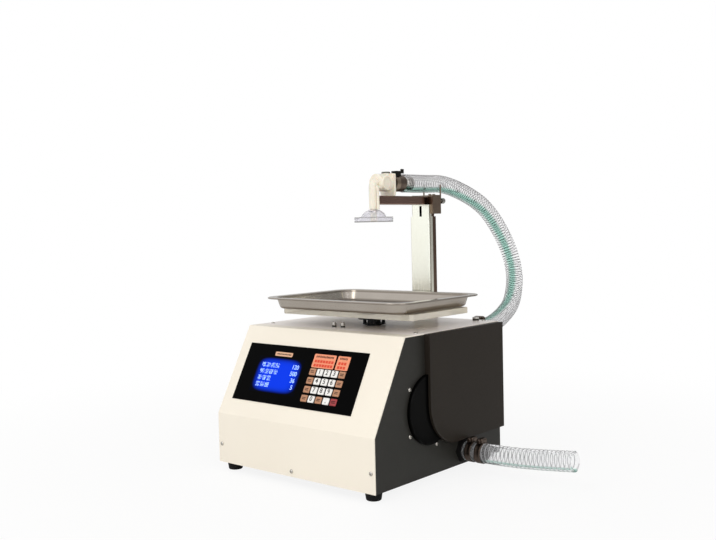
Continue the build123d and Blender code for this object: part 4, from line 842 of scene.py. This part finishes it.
# pan-head screws of the casing and of the ring round the pump's end plate
screws = {
    "radii": (0.0, 0.3, 0.6, 0.9, 1.2, 1.5, 1.8, 2.1, 2.4, 2.7, 2.9, 3.0, 3.0, 0.0), "domeRadius": 3.25,
    "headHeight": 1.8, "crossWidth": 0.34, "crossLength": 1.7, "crossDepth": 0.75,
    "front": [(-143.5, 39.0), (143.5, 39.0), (0.0, 19.7)],
    "deck": [(-138.0, -43.0), (138.0, -41.0), (-138.0, 138.0), (131.0, 138.0)],
    "rear": [(-143.5, 30.0), (-143.5, 190.0), (143.5, 30.0), (143.5, 190.0)],
    "ringCentre": (-30.0, 104.0), "ringRadius": 53.5, "ringAngle": 143.0, "ringCount": 5,
}


def screwShape(place, outward, turn):
    # a domed head on a polar grid; the cross is where the grid is pressed in along two bars
    settings = screws
    outward = np.array(outward, float)
    side = np.cross(outward, [0.0, 0.0, 1.0] if abs(outward[2]) < 0.5 else [1.0, 0.0, 0.0])
    other = np.cross(outward, side)
    radii = np.array(settings["radii"])
    turns = np.linspace(0, 2 * np.pi, 40, endpoint=False)
    r, t = np.meshgrid(radii, turns, indexing="ij")
    height = settings["headHeight"] * np.sqrt(np.clip(1 - (r / settings["domeRadius"]) ** 2, 0, 1))
    x, y = r * np.cos(t + turn), r * np.sin(t + turn)
    u, v = np.abs(r * np.cos(t)), np.abs(r * np.sin(t))
    cross = (np.minimum(u, v) < settings["crossWidth"]) & (np.maximum(u, v) < settings["crossLength"])
    height = np.where(cross, height - settings["crossDepth"], height)
    height[-2:] = 0.0
    points = np.array(place, float) + x[..., None] * side + y[..., None] * other + height[..., None] * outward
    return points * mm, gridFaces(len(radii), len(turns), wrapColumns=True)


def makeScrews(settings):
    half, front, rear, deck = cabinet["halfWidth"], cabinet["frontY"], cabinet["rearY"], cabinet["deckZ"]
    places = [((x, front, z), (0, -1, 0)) for x, z in settings["front"]]
    places += [((x, y, deck), (0, 0, 1)) for x, y in settings["deck"]]
    places += [((x, rear, z), (0, 1, 0)) for x, z in settings["rear"]]
    for k in range(settings["ringCount"]):
        angle = math.radians(settings["ringAngle"] + k * 360 / settings["ringCount"])
        y = settings["ringCentre"][0] + settings["ringRadius"] * math.cos(angle)
        z = settings["ringCentre"][1] + settings["ringRadius"] * math.sin(angle)
        places.append(((half, y, z), (1, 0, 0)))
    shapes = [screwShape(place, outward, 0.7 * k) for k, (place, outward) in enumerate(places)]
    piece = makePiece("panHeadScrews", shapes, "casing", finish["nickelPlate"], sharp=40.0)
    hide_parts("cabinet_screws")


# worm clamps on the hoses
clamps = {
    "inside": 14.15, "thickness": 0.7, "width": 10.0, "slotPitch": 2.6, "slotDepth": 0.3,
    "housing": (6.4, 4.6, 3.6), "housingLift": 3.0, "screwRadius": 3.3, "screwStart": 6.2,
    "places": [
        ((162.0, 48.0, 32.0), (1, 0, 0)), ((178.0, 48.0, 32.0), (1, 0, 0)), ((100.0, 167.5, 190.0), (0, 1, 0)),
    ],
}


def blockShape(centre, axes, halves, radius=0.8, steps=3):
    # a block with rounded long edges and small end chamfers
    centre, axes = np.array(centre, float), [np.array(a, float) for a in axes]
    rings = []
    chamfer = min(0.5, radius)
    for inset, along in ((chamfer, -1.0), (0.0, -1.0 + chamfer / halves[0]), (0.0, 1.0 - chamfer / halves[0]),
                         (chamfer, 1.0)):
        outline = roundedOutline(halves[1] - inset, halves[2] - inset, max(radius - inset, 0.1), steps)
        ring = outline[:, :1] * axes[1] + outline[:, 1:] * axes[2]
        rings.append(centre + along * halves[0] * axes[0] + ring)
    return np.array(rings) * mm, cappedFaces(len(rings), len(rings[0]))


def bandShape(centre, axis, up, inside, thickness, width):
    # a flat ring whose outer face dips at each slot that the worm runs in
    axis, up = np.array(axis, float), np.array(up, float)
    side = np.cross(axis, up)
    sides = 180
    turn = np.linspace(0, 2 * np.pi, sides, endpoint=False)
    around = np.cos(turn)[:, None] * up + np.sin(turn)[:, None] * side
    across = np.array([0.0, 0.0, 0.04, 0.26, 0.3, 0.7, 0.74, 0.96, 1.0, 1.0])
    edge = np.array([0.0, 0.7, 1.0, 1.0, 1.0, 1.0, 1.0, 1.0, 0.7, 0.0])
    slotHere = np.sin(turn * inside / clamps["slotPitch"] * 2 * np.pi) > 0.1
    inSlot = ((across > 0.28) & (across < 0.72))[:, None] & slotHere[None, :]
    radius = inside + edge[:, None] * thickness - np.where(inSlot, clamps["slotDepth"], 0.0)
    start = np.array(centre, float) + (across * width)[:, None, None] * axis
    points = start + radius[..., None] * around[None]
    return points * mm, gridFaces(len(across), sides, wrapRows=True, wrapColumns=True)


def makeClamps(settings):
    shapes = []
    for place, axis in settings["places"]:
        place, axis, up = np.array(place, float), np.array(axis, float), np.array([0.0, 0.0, 1.0])
        side = np.cross(axis, up)
        shapes.append(bandShape(place, axis, up, settings["inside"], settings["thickness"], settings["width"]))
        middle = place + axis * settings["width"] / 2 + up * (settings["inside"] + settings["housingLift"])
        shapes.append(blockShape(middle, (side, axis, up), settings["housing"], 2.2, 4))
        # the worm's hexagon head stands out at one end, with a slot across it
        head = [(0.0, 0.0), (settings["screwRadius"], 0.0), (settings["screwRadius"], 3.2),
                (settings["screwRadius"] - 0.5, 3.8), (1.2, 3.8), (1.1, 3.0), (0.0, 3.0)]
        shapes.append(revolveShape(head, middle + side * settings["screwStart"], side, up, 6))
    piece = makePiece("wormClamps", shapes, "casing", finish["agedZinc"], sharp=30.0)
    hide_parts("hose_clamps")


makeScrews(screws)
makeClamps(clamps)
print("fasteners and clamps made")

# the round cap that closes the elbow's right side
sideCap = {"centre": (21.5, 32.0, 418.6), "radius": 10.6, "from": 8.0, "to": 14.2, "groove": 8.2}


def makeSideCap(settings):
    # a flat face, a groove and a rounded rim: a profile of (radius, height) goes round the cap's axis
    radius, low, high, groove = (settings[k] for k in ("radius", "from", "to", "groove"))
    turn = np.linspace(0, np.pi / 2, 6)
    rim = np.stack([radius - 1.1 + 1.1 * np.cos(turn), high - 1.1 + 1.1 * np.sin(turn)], -1)
    profile = np.concatenate([
        [(0.0, low), (radius, low)], rim,
        [(groove + 0.5, high), (groove + 0.3, high - 0.7)],
        [(groove - 0.3, high - 0.7), (groove - 0.6, high - 0.1), (0.0, high + 0.3)],
    ])
    shape = revolveShape(profile, settings["centre"], (1, 0, 0), (0, 0, 1), 64)
    makePiece("elbowSideCap", [shape], "filling_head", finish["mouldedAbs"], sharp=40.0)


makeSideCap(sideCap)

# finishes of the CAD nodes
nodeFinishes = {
    "creamEnamel": "front_top_cover",
    "darkPowderCoat": "left_side_panel right_side_panel rear_panel base_pan",
    "guardPowderCoat": "pump_cover",
    "blackLacquer": "pump_end_plate",
    "footRubber": "rubber_feet",
    "printedFilm": "front_overlay display_module",
    "boardLaminate": "control_board",
    "motorPaint": "gear_motor",
    "cutAluminium": "power_supply load_cell pump_housing",
    "blackAbs": "mains_inlet load_post suction_port",
    "greyNylon": "bleed_cap",
    "keyRed": "power_switch",
    "turnedSteel": "drive_gear idler_gear outlet_port bracket_knob",
    "drawnSteelColumn": "outer_column",
    "drawnSteelMast": "inner_mast",
    "drawnSteelArm": "arm",
    "bronzedSteel": "inlet_union",
    "platedBracket": "arm_bracket",
    "mouldedAbs": "nozzle_elbow nozzle_tube",
    "frostedGuard": "splash_disc",
    "agedAcrylic": "platform",
    "chromedStud": "deck_studs",
    "nickelPlate": "cabinet_screws hose_clamps",
    "clampSteel": "butterfly_clamp",
    "pressedSteel": "tray",
}
for finishName, nodeNames in nodeFinishes.items():
    dress(nodeNames, finish[finishName])
for row in range(keypad["rows"]):
    for column in range(keypad["columns"]):
        dress(f"key_{row + 1}_{column + 1}", finish[keyKind(row, column)])

# floor, world and lamps
studio = {
    "floorSize": 8.0, "floorWhite": "#EFEEEC", "floorGlow": 0.88, "floorSheen": 0.2, "fade": (0.25, 1.1),
    "ambient": 0.66,
    # what glossy surfaces see: bright to the left front, dim to the right rear
    "brightSide": (-0.50, -0.60, 0.62), "gloss": (0.30, 1.0), "glossTurn": (-0.9, 0.75), "aim": (0, 0, 0.2),
    "lamps": {
        "keyLamp": {"place": (-0.3, -1.8, 2.2), "size": 1.4, "watts": 16.0, "colour": "#FFFCF6"},
        "frontLamp": {"place": (-0.7, -2.5, 0.6), "size": 1.4, "watts": 5.5, "colour": "#E2EEFF"},
        "rightLamp": {"place": (2.0, -1.1, 1.1), "size": 1.2, "watts": 13.0, "colour": "#FFFFFF"},
    },
}


def makeStage(settings):
    # a pale floor that keeps the object's shadow and turns white with the distance
    half = settings["floorSize"] / 2
    mesh = bpy.data.meshes.new("floor")
    corners = [(-half, -half, 0), (half, -half, 0), (half, half, 0), (-half, half, 0)]
    mesh.from_pydata(corners, [], [(0, 1, 2, 3)])
    floor = addObject("floor", mesh)
    material, tree, shader = newFinish("paleFloor")
    feed(shader, {"Base Color": toLinear(settings["floorWhite"]), "Roughness": 0.6})
    white = addNode(tree, "Emission", {}, {"Color": toLinear("#FFFFFF"), "Strength": 1.0})
    path = addNode(tree, "LightPath").node
    # polished metal sees a dimmer floor than the camera and clear pieces do
    sheen = addNode(
        tree, "Math", {"operation": "MULTIPLY"},
        {0: path.outputs["Is Glossy Ray"], 1: settings["floorSheen"]},
    )
    seen = path.outputs["Is Camera Ray"]
    for other in (path.outputs["Is Transmission Ray"], sheen):
        seen = addNode(tree, "Math", {"operation": "MAXIMUM"}, {0: seen, 1: other})
    place = addNode(tree, "TexCoord", take="Object")
    reach = addNode(tree, "VectorMath", {"operation": "LENGTH"}, {0: place}, take="Value")
    # white takes over with the distance, so that the floor has no horizon
    near, far = settings["fade"]
    share = addNode(
        tree, "MapRange", smoothStep,
        {"Value": reach, "From Min": near, "From Max": far, "To Min": settings["floorGlow"], "To Max": 1.0},
    )
    amount = addNode(tree, "Math", {"operation": "MULTIPLY"}, {0: share, 1: seen})
    mix = addNode(tree, "MixShader", {}, {0: amount, 1: shader.outputs[0], 2: white})
    feed(tree.nodes["Material Output"], {"Surface": mix})
    mesh.materials.append(material)


def makeWorld(settings):
    # white to the camera and through clear pieces, plain light on the object, a soft gradient in gloss
    world = bpy.data.worlds.new("studio")
    bpy.context.scene.world = world
    world.use_nodes = True
    tree = world.node_tree
    path = addNode(tree, "LightPath").node
    clear = addNode(
        tree, "Math", {"operation": "MAXIMUM"},
        {0: path.outputs["Is Camera Ray"], 1: path.outputs["Is Transmission Ray"]},
    )
    strength = addNode(tree, "MapRange", {}, {"Value": clear, "To Min": settings["ambient"], "To Max": 1.0})
    # in a world, Object coordinates are the direction in which a ray leaves
    direction = addNode(tree, "TexCoord", take="Object")
    facing = addNode(
        tree, "VectorMath", {"operation": "DOT_PRODUCT"}, {0: direction, 1: settings["brightSide"]},
        take="Value",
    )
    low, high = settings["gloss"]
    dim, bright = settings["glossTurn"]
    mirrored = addNode(
        tree, "MapRange", smoothStep,
        {"Value": facing, "From Min": dim, "From Max": bright, "To Min": low, "To Max": high},
    )
    glossy = addNode(
        tree, "Math", {"operation": "SUBTRACT", "use_clamp": True},
        {0: path.outputs["Is Glossy Ray"], 1: clear},
    )
    strength = addNode(tree, "Mix", {}, {0: glossy, 2: strength, 3: mirrored})
    feed(tree.nodes["Background"], {"Color": toLinear("#FFFFFF"), "Strength": strength})


def makeLamps(settings):
    # soft round lamps that face the object
    target = Vector(settings["aim"])
    for name, lamp in settings["lamps"].items():
        data = bpy.data.lights.new(name, "AREA")
        data.shape = "DISK"
        data.size = lamp["size"]
        data.energy = lamp["watts"]
        data.color = toLinear(lamp["colour"])[:3]
        piece = addObject(name, data)
        place = Vector(lamp["place"])
        turn = (place - target).to_track_quat("Z", "Y").to_matrix().to_4x4()
        piece.matrix_world = Matrix.Translation(place) @ turn


makeStage(studio)
makeWorld(studio)
makeLamps(studio)
bpy.context.scene.view_settings.view_transform = "Standard"
print("studio ready")

bpy.context.view_layer.update()
